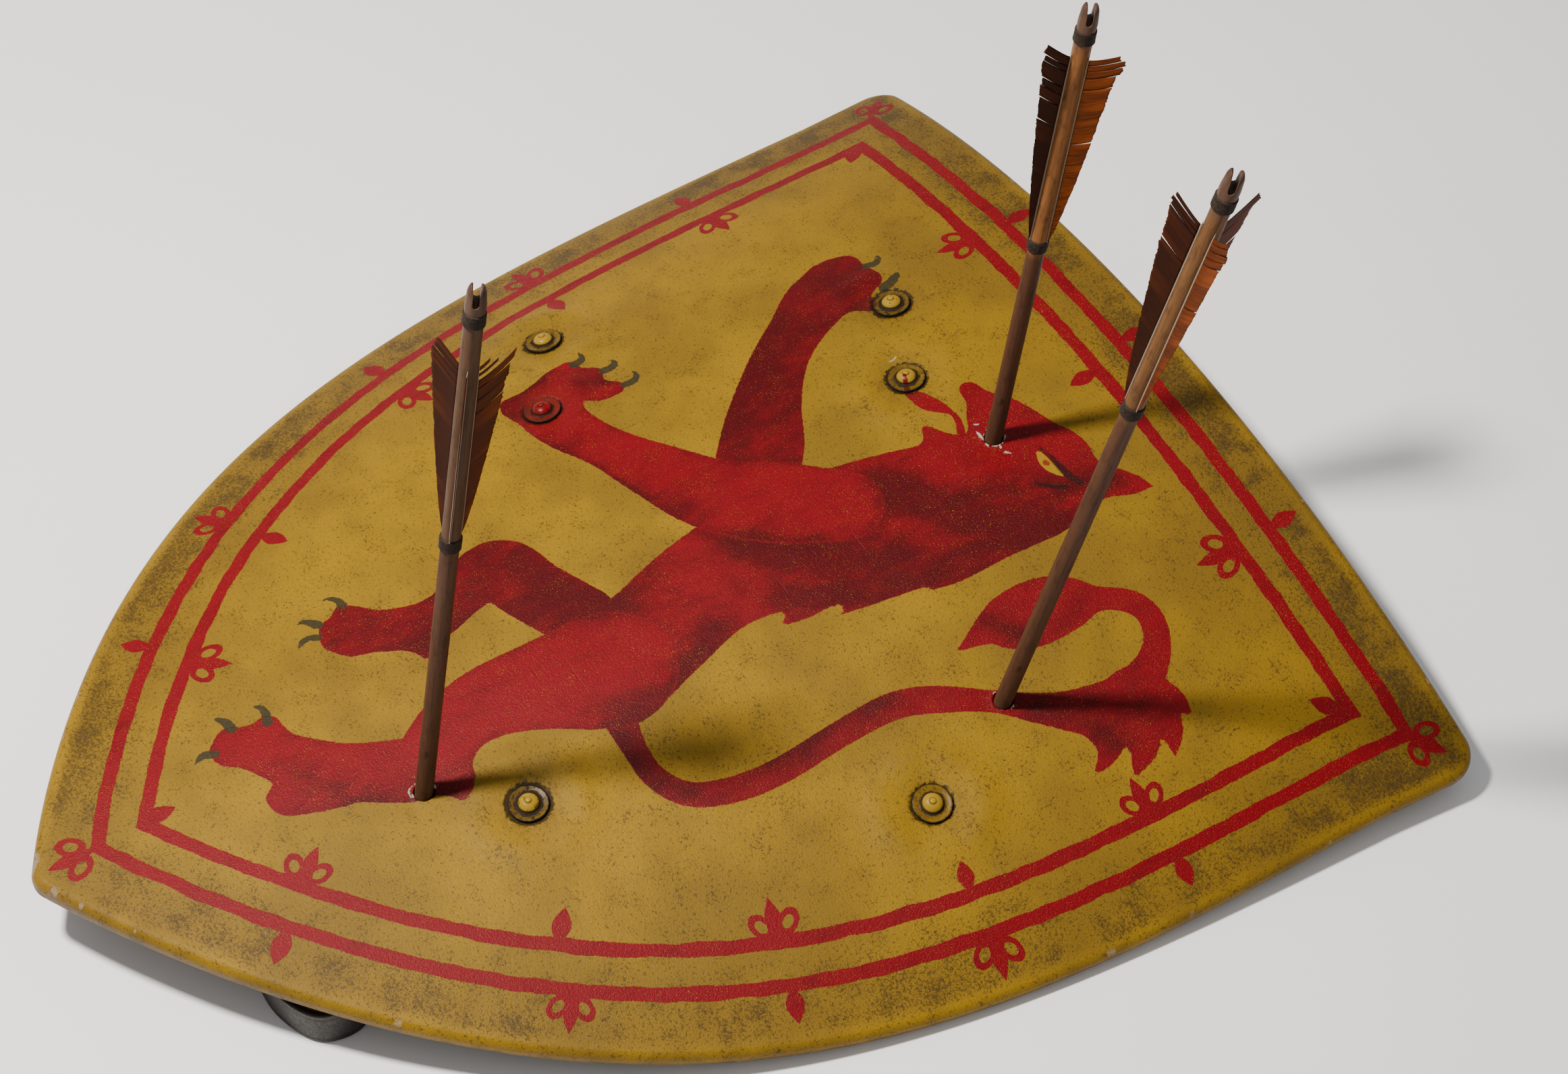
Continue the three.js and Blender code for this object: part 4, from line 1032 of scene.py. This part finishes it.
def boardMaterial():  # oiled planks of different tones, dark in the joints
    t, s, n = split(readAttribute(startMaterial(), "flat"))
    index = calc("FLOOR", (t + 310) / 103.6)
    drawn = combined(index * 31 + t, n, s)
    wood = useGroup(woodGrain, Vector=drawn, Size=9)
    clouds = useGroup(mottling, Vector=drawn, Size=120)
    tone = wood["Fibre"] * 0.55 + wood["Ring"] * 0.75
    plankTone = made("TexWhiteNoise", {"W": index}, "Value", noise_dimensions="1D")
    hollow, stain = ramp(n, -10.75, -10.3), ramp(clouds["Middle"], 0.45, 0.75, 0, 0.42)
    colour = layered(
        plank["light"], (ramp(tone, 0.5, 0.85), plank["dark"]), (plankTone * 0.35, plank["dark"]),
        (ramp(wood["Pore"], 0.6, 0.72, 0, 0.6), plank["dark"]), (highest(hollow, stain), plank["soot"]))
    height = wood["Pore"] * 0.5 + wood["Fibre"]
    return newMaterial("boardWood", colour, ramp(wood["Fibre"], 0.3, 0.7, 0.55, 0.8), height, 0.5, 0.0006)


def boardPiece(material):
    inset = shield["coverThickness"] + shield["fitGap"]
    radius = shield["edgeRounding"] - inset
    back = -inset - shield["boardThickness"]
    quarter = np.linspace(0, math.pi / 2, 4)
    layers = [(inset + radius * (1 - math.sin(a)), -inset - radius * (1 - math.cos(a))) for a in quarter]
    layers += [(q, back - inset - n) for q, n in layers[::-1]]
    flat, loops = [], []
    for q, n in layers:
        loop = rimLoop(q)
        loops.append(numbered(flat, np.column_stack([loop, np.full(len(loop), n)])))
    faces = bands(loops)
    faces += fillSheet(flat, loops[0], shield["edgeRounding"], 10, lambda t, s: 0 * t - inset)
    faces += fillSheet(flat, loops[-1], shield["edgeRounding"], plank["columns"], plankHeight)
    flat = np.concatenate(flat)
    return makePiece("plankBoard", bend(*flat.T), faces, material, ["shield_board"],
                     {"flat": flat})


boardPiece(boardMaterial())
print("board made")


# Straps: a flat section with rounded edges and a tooled line along each side
strap = {
    "armWidth": 32, "armThickness": 4, "armTail": 18, "elbowBow": 36, "handBow": 40, "steps": 150,
    "neckWidth": 24, "neckThickness": 3.2, "neckTail": 20, "neckSteps": 760, "groundGap": 0.5,
    "edgeRadius": 1.1, "lineInset": 3.2, "lineDepth": 0.28, "acrossSteps": 26,
    "leather": (0.012, 0.009, 0.008), "leatherLight": (0.035, 0.024, 0.018),
    "leatherEdge": (0.005, 0.004, 0.004), "gloss": 0.25,
}


def strapSection(halfWide, halfThick):  # once round the section, for each of many half widths
    across = np.linspace(-1, 1, strap["acrossSteps"])
    corner = np.linspace(0, math.pi / 2, 4)[1:-1]
    radius = strap["edgeRadius"]
    signX = np.concatenate([across, np.ones(4), -across, -np.ones(4)])
    bendX = np.concatenate([0 * across, np.sin(corner), np.sin(corner[::-1]), 0 * across, -np.sin(corner),
                            -np.sin(corner[::-1])])
    signY = np.concatenate([across * 0 + 1, [1, 1, -1, -1], across * 0 - 1, [-1, -1, 1, 1]])
    bendY = np.concatenate([0 * across + 1, np.cos(corner), -np.cos(corner[::-1]), 0 * across - 1,
                            -np.cos(corner), np.cos(corner[::-1])])
    x = signX * (halfWide[:, None] - radius) + bendX * radius
    y = signY * (halfThick - radius) + bendY * radius
    line = np.exp(-((np.abs(x) - (halfWide[:, None] - strap["lineInset"])) / 0.55) ** 2)
    return x, y - np.sign(y) * strap["lineDepth"] * line * (np.abs(y) > halfThick * 0.9)


def closeEnds(points):  # a last ring at each end drawn in to its middle
    return np.concatenate([points[:1] * 0 + points[:1].mean(1, keepdims=True), points,
                           points[-1:] * 0 + points[-1:].mean(1, keepdims=True)])


def strapPiece(name, points, along, x, material, node):
    places = np.stack(np.broadcast_arrays(along[:, None], x, x.max(1)[:, None]), -1)
    places = np.concatenate([places[:1], places, places[-1:]])
    return makePiece(name, closeEnds(points), None, material, [node], {"strap": places}, 60)


def armStrap(name, start, end, bow, material, node):  # bows off the board as sin(pi share)^1.3
    start, end = np.array(start[:2], float), np.array(end[:2], float)
    span = np.hypot(*(end - start))
    direction = (end - start) / span
    sideways = np.array([-direction[1], direction[0]])
    tail = strap["armTail"]
    distance = np.linspace(-tail, span + tail, strap["steps"])
    rise = np.clip((distance - tail) / (span - 2 * tail), 0, 1)
    depth = strapFace - bow * np.sin(math.pi * rise) ** 1.3 - strap["armThickness"] / 2
    fromEnd = np.minimum(distance + tail, span + tail - distance)
    half = strap["armWidth"] / 2 * np.minimum(1, 0.53 + 0.45 * fromEnd / (tail * 0.7))
    x, y = strapSection(half, strap["armThickness"] / 2)
    flat = start + direction * distance[:, None, None] + sideways * x[..., None]
    wave = 0.25 * softNoise(distance + 300, distance * 0, 19, 31) * (rise > 0) * (rise < 1)
    points = bend(flat[..., 0], flat[..., 1], depth[:, None] + y + wave[:, None])
    return strapPiece(name, points, distance, x, material, node)


def boardStep(t, s, down, away=0.0, drop=0.0):
    onBoard = strapFace - shield["fitGap"] - strap["neckThickness"] / 2
    place = (t + away, s - down)
    up = (math.sin(place[0] / shield["bendRadius"]), 0, math.cos(place[0] / shield["bendRadius"]))
    return bend(*place, onBoard - drop), up, 0.0


def groundStep(x, y, stand, height=0.0):
    return np.array([x, y + shield["shift"], height]), (0, 0, 1), stand


def neckRoute():  # point, up direction, and how far the strap stands on edge
    lowT, lowS, _ = rivets["neck_rivet_lower"]
    highT, highS, _ = rivets["neck_rivet_upper"]
    tail = strap["neckTail"]
    ground = [  # x, distance from the tip, stand and height
        (-197, 300, 0, 9), (-188, 258, 0), (-172, 215, 0.1), (-142, 176, 0.5), (-98, 143, 1), (-38, 116, 1),
        (30, 94, 1), (77, 84, 1), (109, 84, 1), (133, 97, 1), (134, 118, 1), (106, 127, 1), (56, 129, 1),
        (2, 141, 1), (-44, 170, 0.75), (-76, 208, 0.3), (-95, 255, 0), (-106, 310, 0), (-112, 370, 0),
        (-113, 425, 0, 5), (-111, 472, 0, 20)]
    start = [boardStep(lowT, lowS, *step) for step in ((-tail,), (0,), (22, 0, 0.6), (55, 3, 5))]
    end = [boardStep(highT, highS, *step) for step in ((58, -6, 9), (24, -2, 0.8), (0,), (-tail,))]
    return start + [groundStep(*place) for place in ground] + end


def smoothRoute(points, place):  # Catmull-Rom with knots spaced by the square root of the distance
    ends = np.concatenate([[2 * points[0] - points[1]], points, [2 * points[-1] - points[-2]]])
    first = np.minimum(place.astype(int), len(points) - 2)
    share = (place - first)[:, None]
    a, b, c, d = (ends[first + k] for k in range(4))
    gap = [np.sqrt(np.linalg.norm(q - p, axis=1))[:, None] for p, q in ((a, b), (b, c), (c, d))]
    start = ((b - a) / gap[0] - (c - a) / (gap[0] + gap[1]) + (c - b) / gap[1]) * gap[1]
    end = ((c - b) / gap[1] - (d - b) / (gap[1] + gap[2]) + (d - c) / gap[2]) * gap[1]
    return (b + start * share + (3 * (c - b) - 2 * start - end) * share ** 2
            + (2 * (b - c) + start + end) * share ** 3), first, share


def neckStrap(material):
    route = neckRoute()
    points, ups, stands = (np.array([step[k] for step in route], float) for k in range(3))
    centre, first, share = smoothRoute(points, np.linspace(0, len(route) - 1, strap["neckSteps"]))
    along = unit(np.gradient(centre, axis=0))
    up = unit(ups[first] * (1 - share) + ups[first + 1] * share)
    stand = stands[first] + smoothStep(0, 1, share[:, 0]) * (stands[first + 1] - stands[first])
    across = unit(np.cross(up, along))
    angle = (math.pi / 2 * stand)[:, None]
    across = across * np.cos(angle) + np.cross(along, across) * np.sin(angle)
    normal = unit(np.cross(along, across))
    wide, thick = strap["neckWidth"], strap["neckThickness"]
    rise = (np.abs(across[:, 2]) * wide + np.abs(normal[:, 2]) * thick) / 2
    centre[:, 2] = np.maximum(centre[:, 2], strap["groundGap"] + rise)
    x, y = strapSection(np.full(len(centre), wide / 2), thick / 2)
    solid = centre[:, None] + across[:, None] * x[..., None] + normal[:, None] * y[..., None]
    length = np.concatenate([[0], np.cumsum(np.linalg.norm(np.diff(centre, axis=0), axis=1))])
    return strapPiece("neckStrap", solid, length, x, material, "neck_strap")


def strapMaterial():  # oiled dark leather, paler in patches and where its edges rub
    tree = startMaterial()
    along, across, half = split(readAttribute(tree, "strap"))
    place = objectPlace(tree)
    clouds = useGroup(mottling, Vector=place, Size=34)
    grain = useGroup(leatherGrain, Vector=place, Size=0.9)["Height"]
    edge = half - abs(across)
    rubbed = ramp(edge, 2.2, 0.8) * ramp(clouds["Fine"], 0.4, 0.6)
    tooled = ramp(abs(edge - strap["lineInset"]), 0.7, 0.2)
    colour = layered(strap["leather"], (ramp(clouds["Middle"], 0.35, 0.7, 0, 0.45), strap["leatherLight"]),
                     (rubbed * 0.5, strap["leatherLight"]), (tooled * 0.7, strap["leatherEdge"]))
    crackle = ramp(noise(combined(along, across * 0.12), 2.6, 3), 0.6, 0.7)
    rough = ramp(clouds["Fine"], 0.3, 0.7, 0.36, 0.62)
    return newMaterial("strapLeather", colour, rough, crackle * -0.6 + grain, 0.5, 0.0003, strap["gloss"])


strapLeather = strapMaterial()
for strapName in ("elbow", "hand"):
    ends = [rivets[f"{strapName}_rivet_{end}"] for end in ("upper", "lower")]
    armStrap(strapName + "Strap", *ends, strap[strapName + "Bow"], strapLeather, strapName + "_strap")
neckStrap(strapLeather)
print("straps made")


# Arrows: worked out along +Z with the face at zero, then leaned and set in their holes
arrow = {
    "shaftRadius": 4.75, "nockTaper": 0.9, "nockSwell": 0.35, "socketDepth": 16, "headInset": 6,
    "tenonRadius": 3.4, "bindingSpan": 141, "bindingLength": 8, "bindingThickness": 0.7, "threadPitch": 0.62,
    "nockLength": 20, "slotWidth": 3.0, "slotDepth": 11.5, "slotFlare": 0.55,
    "featherHeight": 17, "featherSweep": 13, "barbSteps": 13, "barbThickness": 0.34, "barbThinning": 0.24,
    "quillRadius": 0.55, "headLength": 42, "socketRadius": 6, "spikeWidth": 7,
    "bareBehindFeather": {"upper_arrow": 13, "lower_arrow": 18, "tip_arrow": 31},
    "nockTurn": {"upper_arrow": 330, "lower_arrow": 322, "tip_arrow": 332},
    "wood": {"upper_arrow": (0.225, 0.09, 0.028), "lower_arrow": (0.135, 0.06, 0.02),
             "tip_arrow": (0.08, 0.038, 0.017)},
    "greyWood": (0.078, 0.034, 0.018), "woodDark": (0.035, 0.016, 0.009), "nockWood": (0.085, 0.045, 0.028),
    "thread": (0.016, 0.010, 0.007), "threadWorn": (0.04, 0.026, 0.018), "gloss": 0.12,
    # the dark plumage is the orange darkened: painted shade for a feather out of the light
    "dark": (0.040, 0.008, 0.001), "orange": (0.088, 0.018, 0.002), "russet": (0.075, 0.010, 0.001),
    "quill": (0.22, 0.16, 0.11),
}
feathers = {  # kind of plumage, the dark kind being the orange darkened as painted shade, and its clumps: from and to as shares of the length, and their reach
    "upper_arrow": [
        ("orange", [(0, 0.55, 1), (0.55, 0.84, 0.97), (0.84, 0.9, 1.0), (0.9, 0.94, 1.12), (0.94, 0.97, 1.22),
                    (0.97, 1, 1.12)]),
        ("russet", [(0, 0.7, 1), (0.7, 1, 0.95)]),
        ("dark", [(0, 0.63, 0.93), (0.63, 0.74, 0.9), (0.74, 0.8, 0.93), (0.8, 0.84, 0.88),
                  (0.84, 0.92, 0.93), (0.92, 0.95, 0.91), (0.95, 1, 0.97)]),
    ],
    "lower_arrow": [
        ("russet", [(0, 0.8, 1), (0.8, 0.93, 1.08), (0.93, 1, 1.3)]),
        ("dark", [(0, 0.78, 0.97), (0.78, 0.93, 0.965), (0.93, 0.955, 1.02), (0.955, 0.978, 1.1),
                  (0.978, 1, 1.06)]),
        ("orange", [(0, 0.62, 1), (0.62, 0.86, 0.97), (0.86, 0.9, 0.95), (0.9, 0.94, 1.0),
                    (0.94, 0.975, 1.05), (0.975, 1, 1.02)]),
    ],
    "tip_arrow": [
        ("russet", [(0, 1, 0.8)]),
        ("orange", [(0, 0.72, 1), (0.72, 0.8, 0.97), (0.8, 0.87, 1.0), (0.87, 0.92, 1.12), (0.94, 0.96, 0.6),
                    (0.975, 1, 0.35)]),
        ("dark", [(0, 0.88, 0.94), (0.88, 0.93, 0.91), (0.93, 0.96, 0.88), (0.96, 1, 0.9)]),
    ],
}


def setInHole(name, points):  # shortest turn from +Z to the lean, then out from the foot on the face
    t, s, lean, _, _ = arrows[name]
    x, y, z = unit(np.array(lean))
    skew = np.array([[0, 0, x], [0, 0, y], [-x, -y, 0]])
    turn = np.eye(3) + skew + skew @ skew / (1 + z)
    return bend(t, s, 0) + turnDown(points @ turn.T)


def arrowPiece(name, label, points, faces, material, attributes, crease=None):
    first, *others = (name + "_" + label).split("_")
    pieceName = first + "".join(word.capitalize() for word in others)
    return makePiece(pieceName, setInHole(name, points), faces, material, [name + "_" + label],
                     attributes, crease)


def shaftPoints(outside):  # a round shaft whose top follows the nock: a slot between two rounded prongs
    radius, half = arrow["shaftRadius"], arrow["slotWidth"] / 2
    bottom, slotFloor = -arrow["headInset"], outside - arrow["slotDepth"]
    edges = [math.asin(side * (half + off) / radius) for side in (-1, 1) for off in (-0.05, 0.05)]
    angle = np.sort(np.concatenate([np.linspace(-math.pi / 2, math.pi / 2, 21), edges]))
    ring = np.concatenate([np.stack([np.cos(angle), np.sin(angle)], -1),
                           np.stack([-np.cos(angle[-2:0:-1]), np.sin(angle[-2:0:-1])], -1)])

    def topHeight(x, y):
        out = np.hypot(x, y) / radius
        prong = outside - 0.3 - 3.4 * out ** 4 - 0.9 * ((np.abs(y) - 3.2) / 1.6) ** 2
        floor = slotFloor + half * (1 - np.sqrt(np.clip(1 - (y / half) ** 2, 0, 1)))
        return np.where(np.abs(y) < half, floor, prong)

    def width(z):  # swells a little below the nock and tapers to its tips
        swell = arrow["nockSwell"] * smoothStep(outside - 19, outside - 14, z)
        taper = arrow["nockTaper"] * smoothStep(outside - 13, outside, z)
        return radius * (1 + 0.012 * softNoise(z + 200, z * 0, 21, 41)) + swell - taper

    heights = np.concatenate([[bottom], np.linspace(bottom + 1, slotFloor - 1, 60)])
    rows = [np.column_stack([ring * width(np.array([z])), np.full(len(ring), z)]) for z in heights]
    rim = topHeight(*(ring * radius).T)
    for share in (0.25, 0.5, 0.75, 1.0):
        z = slotFloor - 1 + (rim - slotFloor + 1) * share
        rows.append(np.column_stack([ring * width(z)[:, None], z]))
    start = np.column_stack([ring * arrow["tenonRadius"], np.full(len(ring), bottom)])
    tenonEnd = np.full(len(ring), bottom - arrow["socketDepth"] + 0.3)
    tenon = np.column_stack([ring * arrow["tenonRadius"] * 0.6, tenonEnd])
    rows = np.array([tenon * [0, 0, 1], tenon, start] + rows)
    share = np.linspace(-1, 1, 11)
    capX, capY = np.cos(angle)[:, None] * share * radius, np.sin(angle)[:, None] * radius + 0 * share
    capZ = topHeight(capX, capY)
    scale = width(capZ) / radius
    cap = np.stack([capX * scale, capY * scale, capZ], -1)
    faces = [gridFaces(*rows.shape[:2], wrap=True), gridFaces(*cap.shape[:2], first=rows.size // 3)]
    points = np.concatenate([rows.reshape(-1, 3), cap.reshape(-1, 3)])
    opening = np.clip((points[:, 2] - slotFloor) / arrow["slotDepth"], 0, 1)  # the slot widens upwards
    inner = np.clip((radius - np.abs(points[:, 1])) / (radius - half), 0, 1)
    points[:, 1] += np.sign(points[:, 1]) * arrow["slotFlare"] * opening * inner
    return points, faces


def bindingPoints(middle, length, seed):  # thread wound round the shaft: its radius ripples once a turn
    inner = arrow["shaftRadius"] + 0.1
    z = np.linspace(middle - length / 2, middle + length / 2, int(length / arrow["threadPitch"] * 6))
    ripple = np.abs(np.sin(math.pi * (z - z[0]) / arrow["threadPitch"])) ** 0.7
    ends = smoothStep(0, 0.7, np.minimum(z - z[0], z[-1] - z))
    thick = (arrow["bindingThickness"] + 0.2) * ends * (0.72 + 0.2 * ripple)
    thick = thick * (1 + 0.12 * softNoise(z + 300, z * 0, 2.4, seed))
    profile = np.column_stack([inner + thick, z])
    profile = np.concatenate([[[inner - 0.4, z[0]]], profile, [[inner - 0.4, z[-1]], [inner - 0.4, z[0]]]])
    return revolve(profile, 36)


def featherPoints(front, back, clumps, seed):  # barbs leave the quill and sweep back by sweep times v
    draw = np.random.default_rng(seed)
    root, height, sweep = arrow["shaftRadius"] + 0.2, arrow["featherHeight"], arrow["featherSweep"]
    points, faces, barbs, count = [], [], [], 0
    v = np.linspace(0, 1, arrow["barbSteps"])
    for first, last, reach in clumps:
        steps = max(6, int((last - first) * 150))
        u = np.linspace(first, last, steps)
        middle = (first + last) / 2
        narrow = last - first < 0.2
        pinch = draw.uniform(0.01, 0.06) if narrow else 0.01
        lean, cup = draw.uniform(-0.5, 0.5) * narrow, draw.uniform(0.6, 1.6)
        rise = np.minimum(1, u / 0.94) ** 0.74 * (1 - 0.16 * smoothStep(0.9, 1, u)) * reach
        rough = softNoise(u * 1000, u * 0, 31, seed) + softNoise(u * 1000, u * 0, 9, seed + 1)
        rise = rise * (1 + 0.022 * rough + 0.015 * draw.uniform(-1, 1, steps))
        out = root + 0.6 + height * rise[:, None] * v
        drawnIn = u[:, None] + (middle - u[:, None]) * pinch * v ** 4
        along = front + drawnIn * (back - front) + sweep * rise[:, None] * v ** 1.15
        side = lean * v ** 3 + cup * v ** 2 * rise[:, None]
        ends = np.minimum(np.arange(steps), np.arange(steps)[::-1])[:, None]
        thin = (arrow["barbThickness"] - arrow["barbThinning"] * v) * smoothStep(0, 1.2, ends)
        upper = np.stack([out, side + thin / 2, along], -1)
        lower = np.stack([out, side - thin / 2, along], -1)
        block = np.concatenate([upper, lower[:, ::-1]], 1)
        shares = np.tile(np.concatenate([v, v[::-1]]), (steps, 1))
        barb = np.stack(np.broadcast_arrays(u[:, None] * (back - front), shares, draw.uniform(0, 1)), -1)
        points.append(block.reshape(-1, 3))
        barbs.append(barb.reshape(-1, 3))
        faces.append(gridFaces(*shares.shape, wrap=True, first=count))
        count += shares.size
    z = np.linspace(front - 5, back + 3, 40)
    turn = np.linspace(0, 2 * math.pi, 10, endpoint=False)
    blunt = np.clip(1 - ((z - z.mean()) / (z[-1] - z.mean())) ** 8, 0, 1)
    size = arrow["quillRadius"] * np.sqrt(blunt)[:, None]
    quill = np.stack([root + 0.1 + size * 1.1 * np.cos(turn), size * np.sin(turn), z[:, None] + 0 * turn], -1)
    points.append(quill.reshape(-1, 3))
    barbs.append(np.tile([0, -1.0, 0], (z.size * turn.size, 1)))
    faces.append(gridFaces(z.size, turn.size, wrap=True, first=count))
    return np.concatenate(points), faces, np.concatenate(barbs)


def headPoints():  # a round socket that draws in to a square spike
    mouth = -arrow["headInset"] - 0.3
    depth, length = arrow["socketDepth"], arrow["headLength"]
    wide, spike = arrow["socketRadius"], arrow["spikeWidth"] / 2
    rings = [  # distance from the mouth, radius, and the power that makes the section square
        (0, 0.01, 2), (0, wide - 0.4, 2), (0.4, wide, 2), (depth * 0.5, wide * 0.88, 2),
        (depth, wide * 0.72, 2), (depth + 1.5, spike * 1.12, 3), (depth + 4, spike, 9),
        (depth + 8, spike + 0.35, 12), (length * 0.8, spike * 0.62, 12), (length - 0.6, 0.35, 8),
        (length, 0.001, 2)]
    away, radius, power = np.array(rings).T[:, :, None]
    angle = np.linspace(0, 2 * math.pi, 40, endpoint=False)
    x, y = np.cos(angle), np.sin(angle)
    reach = radius / (np.abs(x) ** power + np.abs(y) ** power) ** (1 / power)
    return np.stack([reach * x, reach * y, mouth - away + 0 * angle], -1)


def shaftMaterial(name):  # long fibres, grey below the feathers and at the nock, with a few dark knots
    outside = arrows[name][3]
    place = readAttribute(startMaterial(), "grain")
    z = split(place)[2]
    wood = useGroup(woodGrain, Vector=place, Size=3.2)
    clouds = useGroup(mottling, Vector=stretched(place, (1, 1, 0.35)), Size=16)
    front = outside - arrow["nockLength"] - arrow["bindingSpan"]
    ragged = (clouds["Slow"] - 0.5) * 24 + z
    knots = made("TexVoronoi", {"Vector": stretched(place, (1, 1, 0.5)), "Scale": 1 / 15})
    colour = layered(
        arrow["greyWood"], (ramp(ragged, front - 10, front + 3), arrow["wood"][name]),
        (ramp(ragged, outside - 34, outside - 19), arrow["nockWood"]),
        (ramp(wood["Fibre"], 0.4, 0.68, 0, 0.4), arrow["woodDark"]),
        (ramp(clouds["Middle"], 0.48, 0.7, 0, 0.5), arrow["woodDark"]),
        (ramp(knots, 0.13, 0.04, 0, 0.85), arrow["woodDark"]),
        (ramp(z, outside - 10, outside - 1, 0, 0.5), arrow["woodDark"]))
    rough = ramp(wood["Fibre"], 0.3, 0.7, 0.42, 0.62)
    height = wood["Pore"] * 0.5 + wood["Fibre"]
    return newMaterial(name.split("_")[0] + "ShaftWood", colour, rough, height, 0.45, 0.0004, arrow["gloss"])


def threadMaterial():
    clouds = useGroup(mottling, Vector=readAttribute(startMaterial(), "grain"), Size=6)
    lift = ramp(clouds["Middle"], 0.4, 0.7)
    colour = mixColour(lift, arrow["thread"], arrow["threadWorn"])
    rough = ramp(lift, 0, 1, 0.55, 0.85)
    return newMaterial("boundThread", colour, rough, clouds["Fine"], 0.4, 0.0003, arrow["gloss"])


def featherMaterial(kind):  # barbs as fine slanting stripes, brighter towards thin tips, pale along the quill
    along, v, tone = split(readAttribute(startMaterial(), "barb"))
    vector = combined(along, v * 0.6, tone * 9)
    stripe, broad = noise(vector, 0.5, 2), noise(vector, 8, 2)
    darker, lighter = (tuple(times * c for c in arrow[kind]) for times in (0.45, 1.7))
    glow = ramp(broad, 0.45, 0.68) * ramp(v, 0.1, 0.9, 0.25, 0.8)
    colour = layered(darker, (ramp(stripe, 0.35, 0.65), arrow[kind]), (glow, lighter),
                     (ramp(v, -0.2, -0.6), arrow["quill"]))
    rough = ramp(stripe, 0.3, 0.7, 0.5, 0.75)
    return newMaterial(kind + "Feather", colour, rough, stripe, 0.5, 0.0002, arrow["gloss"])


thread = threadMaterial()
# the dark kind is painted shade of the orange plumage
plumage = {kind: featherMaterial(kind) for kind in ("dark", "orange", "russet")}


def turnedAbout(points, degrees):  # about the arrow's own axis
    angle = math.radians(degrees)
    return np.stack([points[:, 0] * math.cos(angle) - points[:, 1] * math.sin(angle),
                     points[:, 0] * math.sin(angle) + points[:, 1] * math.cos(angle), points[:, 2]], -1)


for arrowName, (_, _, _, outside, turn) in arrows.items():
    rear = outside - arrow["nockLength"]
    front = rear - arrow["bindingSpan"]
    points, faces = shaftPoints(outside)
    points = turnedAbout(points, arrow["nockTurn"][arrowName])
    arrowPiece(arrowName, "shaft", points, faces, shaftMaterial(arrowName), {"grain": points}, 45)
    for label, middle in (("front_binding", front), ("rear_binding", rear)):
        points = bindingPoints(middle, arrow["bindingLength"], 51)
        arrowPiece(arrowName, label, points, None, thread, {"grain": points})
    arrowPiece(arrowName, "head", headPoints(), None, bareIron, {}, 40)
    featherStart = front + arrow["bindingLength"] / 2 + 0.3
    featherEnd = rear - arrow["bareBehindFeather"][arrowName]
    for number, (kind, clumps) in enumerate(feathers[arrowName]):
        points, faces, barbs = featherPoints(featherStart, featherEnd, clumps, 60 + number)
        points = turnedAbout(points, turn + 120 * number)
        arrowPiece(arrowName, f"feather_{number + 1}", points, faces, plumage[kind], {"barb": barbs})
print("arrows made")


# Studio: a pale floor, a key light from the tip's side and a pale surround
studio = {
    "floor": (0.88, 0.865, 0.845), "surround": (0.80, 0.81, 0.84), "surroundStrength": 0.55,
    "keyPlace": (-0.273, -0.629, 1.772), "keySize": 0.22, "keyPower": 72, "keyColour": (1.0, 0.96, 0.9),
}


def areaLight(name, place, size, power, colour):  # faces the object
    data = bpy.data.lights.new(name, "AREA")
    data.shape, data.size, data.energy, data.color = "DISK", size, power, colour
    light = bpy.data.objects.new(name, data)
    light.location = place
    back = unit(np.array(place))
    right = unit(np.cross([0, 0, 1], back))
    light.rotation_euler = axesMatrix(right, np.cross(back, right), back).to_euler()
    bpy.context.scene.collection.objects.link(light)


def makeStudio():
    place = objectPlace(startMaterial())
    shaded = tuple(0.96 * c for c in studio["floor"])
    cloudy = ramp(noise(place, 600), 0.3, 0.7)
    material = newMaterial("floor", mixColour(cloudy, studio["floor"], shaded), noise(place, 300))
    mesh = bpy.data.meshes.new("floor")
    mesh.from_pydata([(-9, -9, 0), (9, -9, 0), (9, 9, 0), (-9, 9, 0)], [], [(0, 1, 2, 3)])
    mesh.materials.append(material)
    floor = bpy.data.objects.new("floor", mesh)
    bpy.context.scene.collection.objects.link(floor)
    world = bpy.data.worlds.new("surround")
    world.use_nodes = True
    background = world.node_tree.nodes["Background"]
    background.inputs["Color"].default_value = (*studio["surround"], 1)
    background.inputs["Strength"].default_value = studio["surroundStrength"]
    bpy.context.scene.world = world
    areaLight("keyLight", studio["keyPlace"], studio["keySize"], studio["keyPower"], studio["keyColour"])


makeStudio()
print("studio lit")
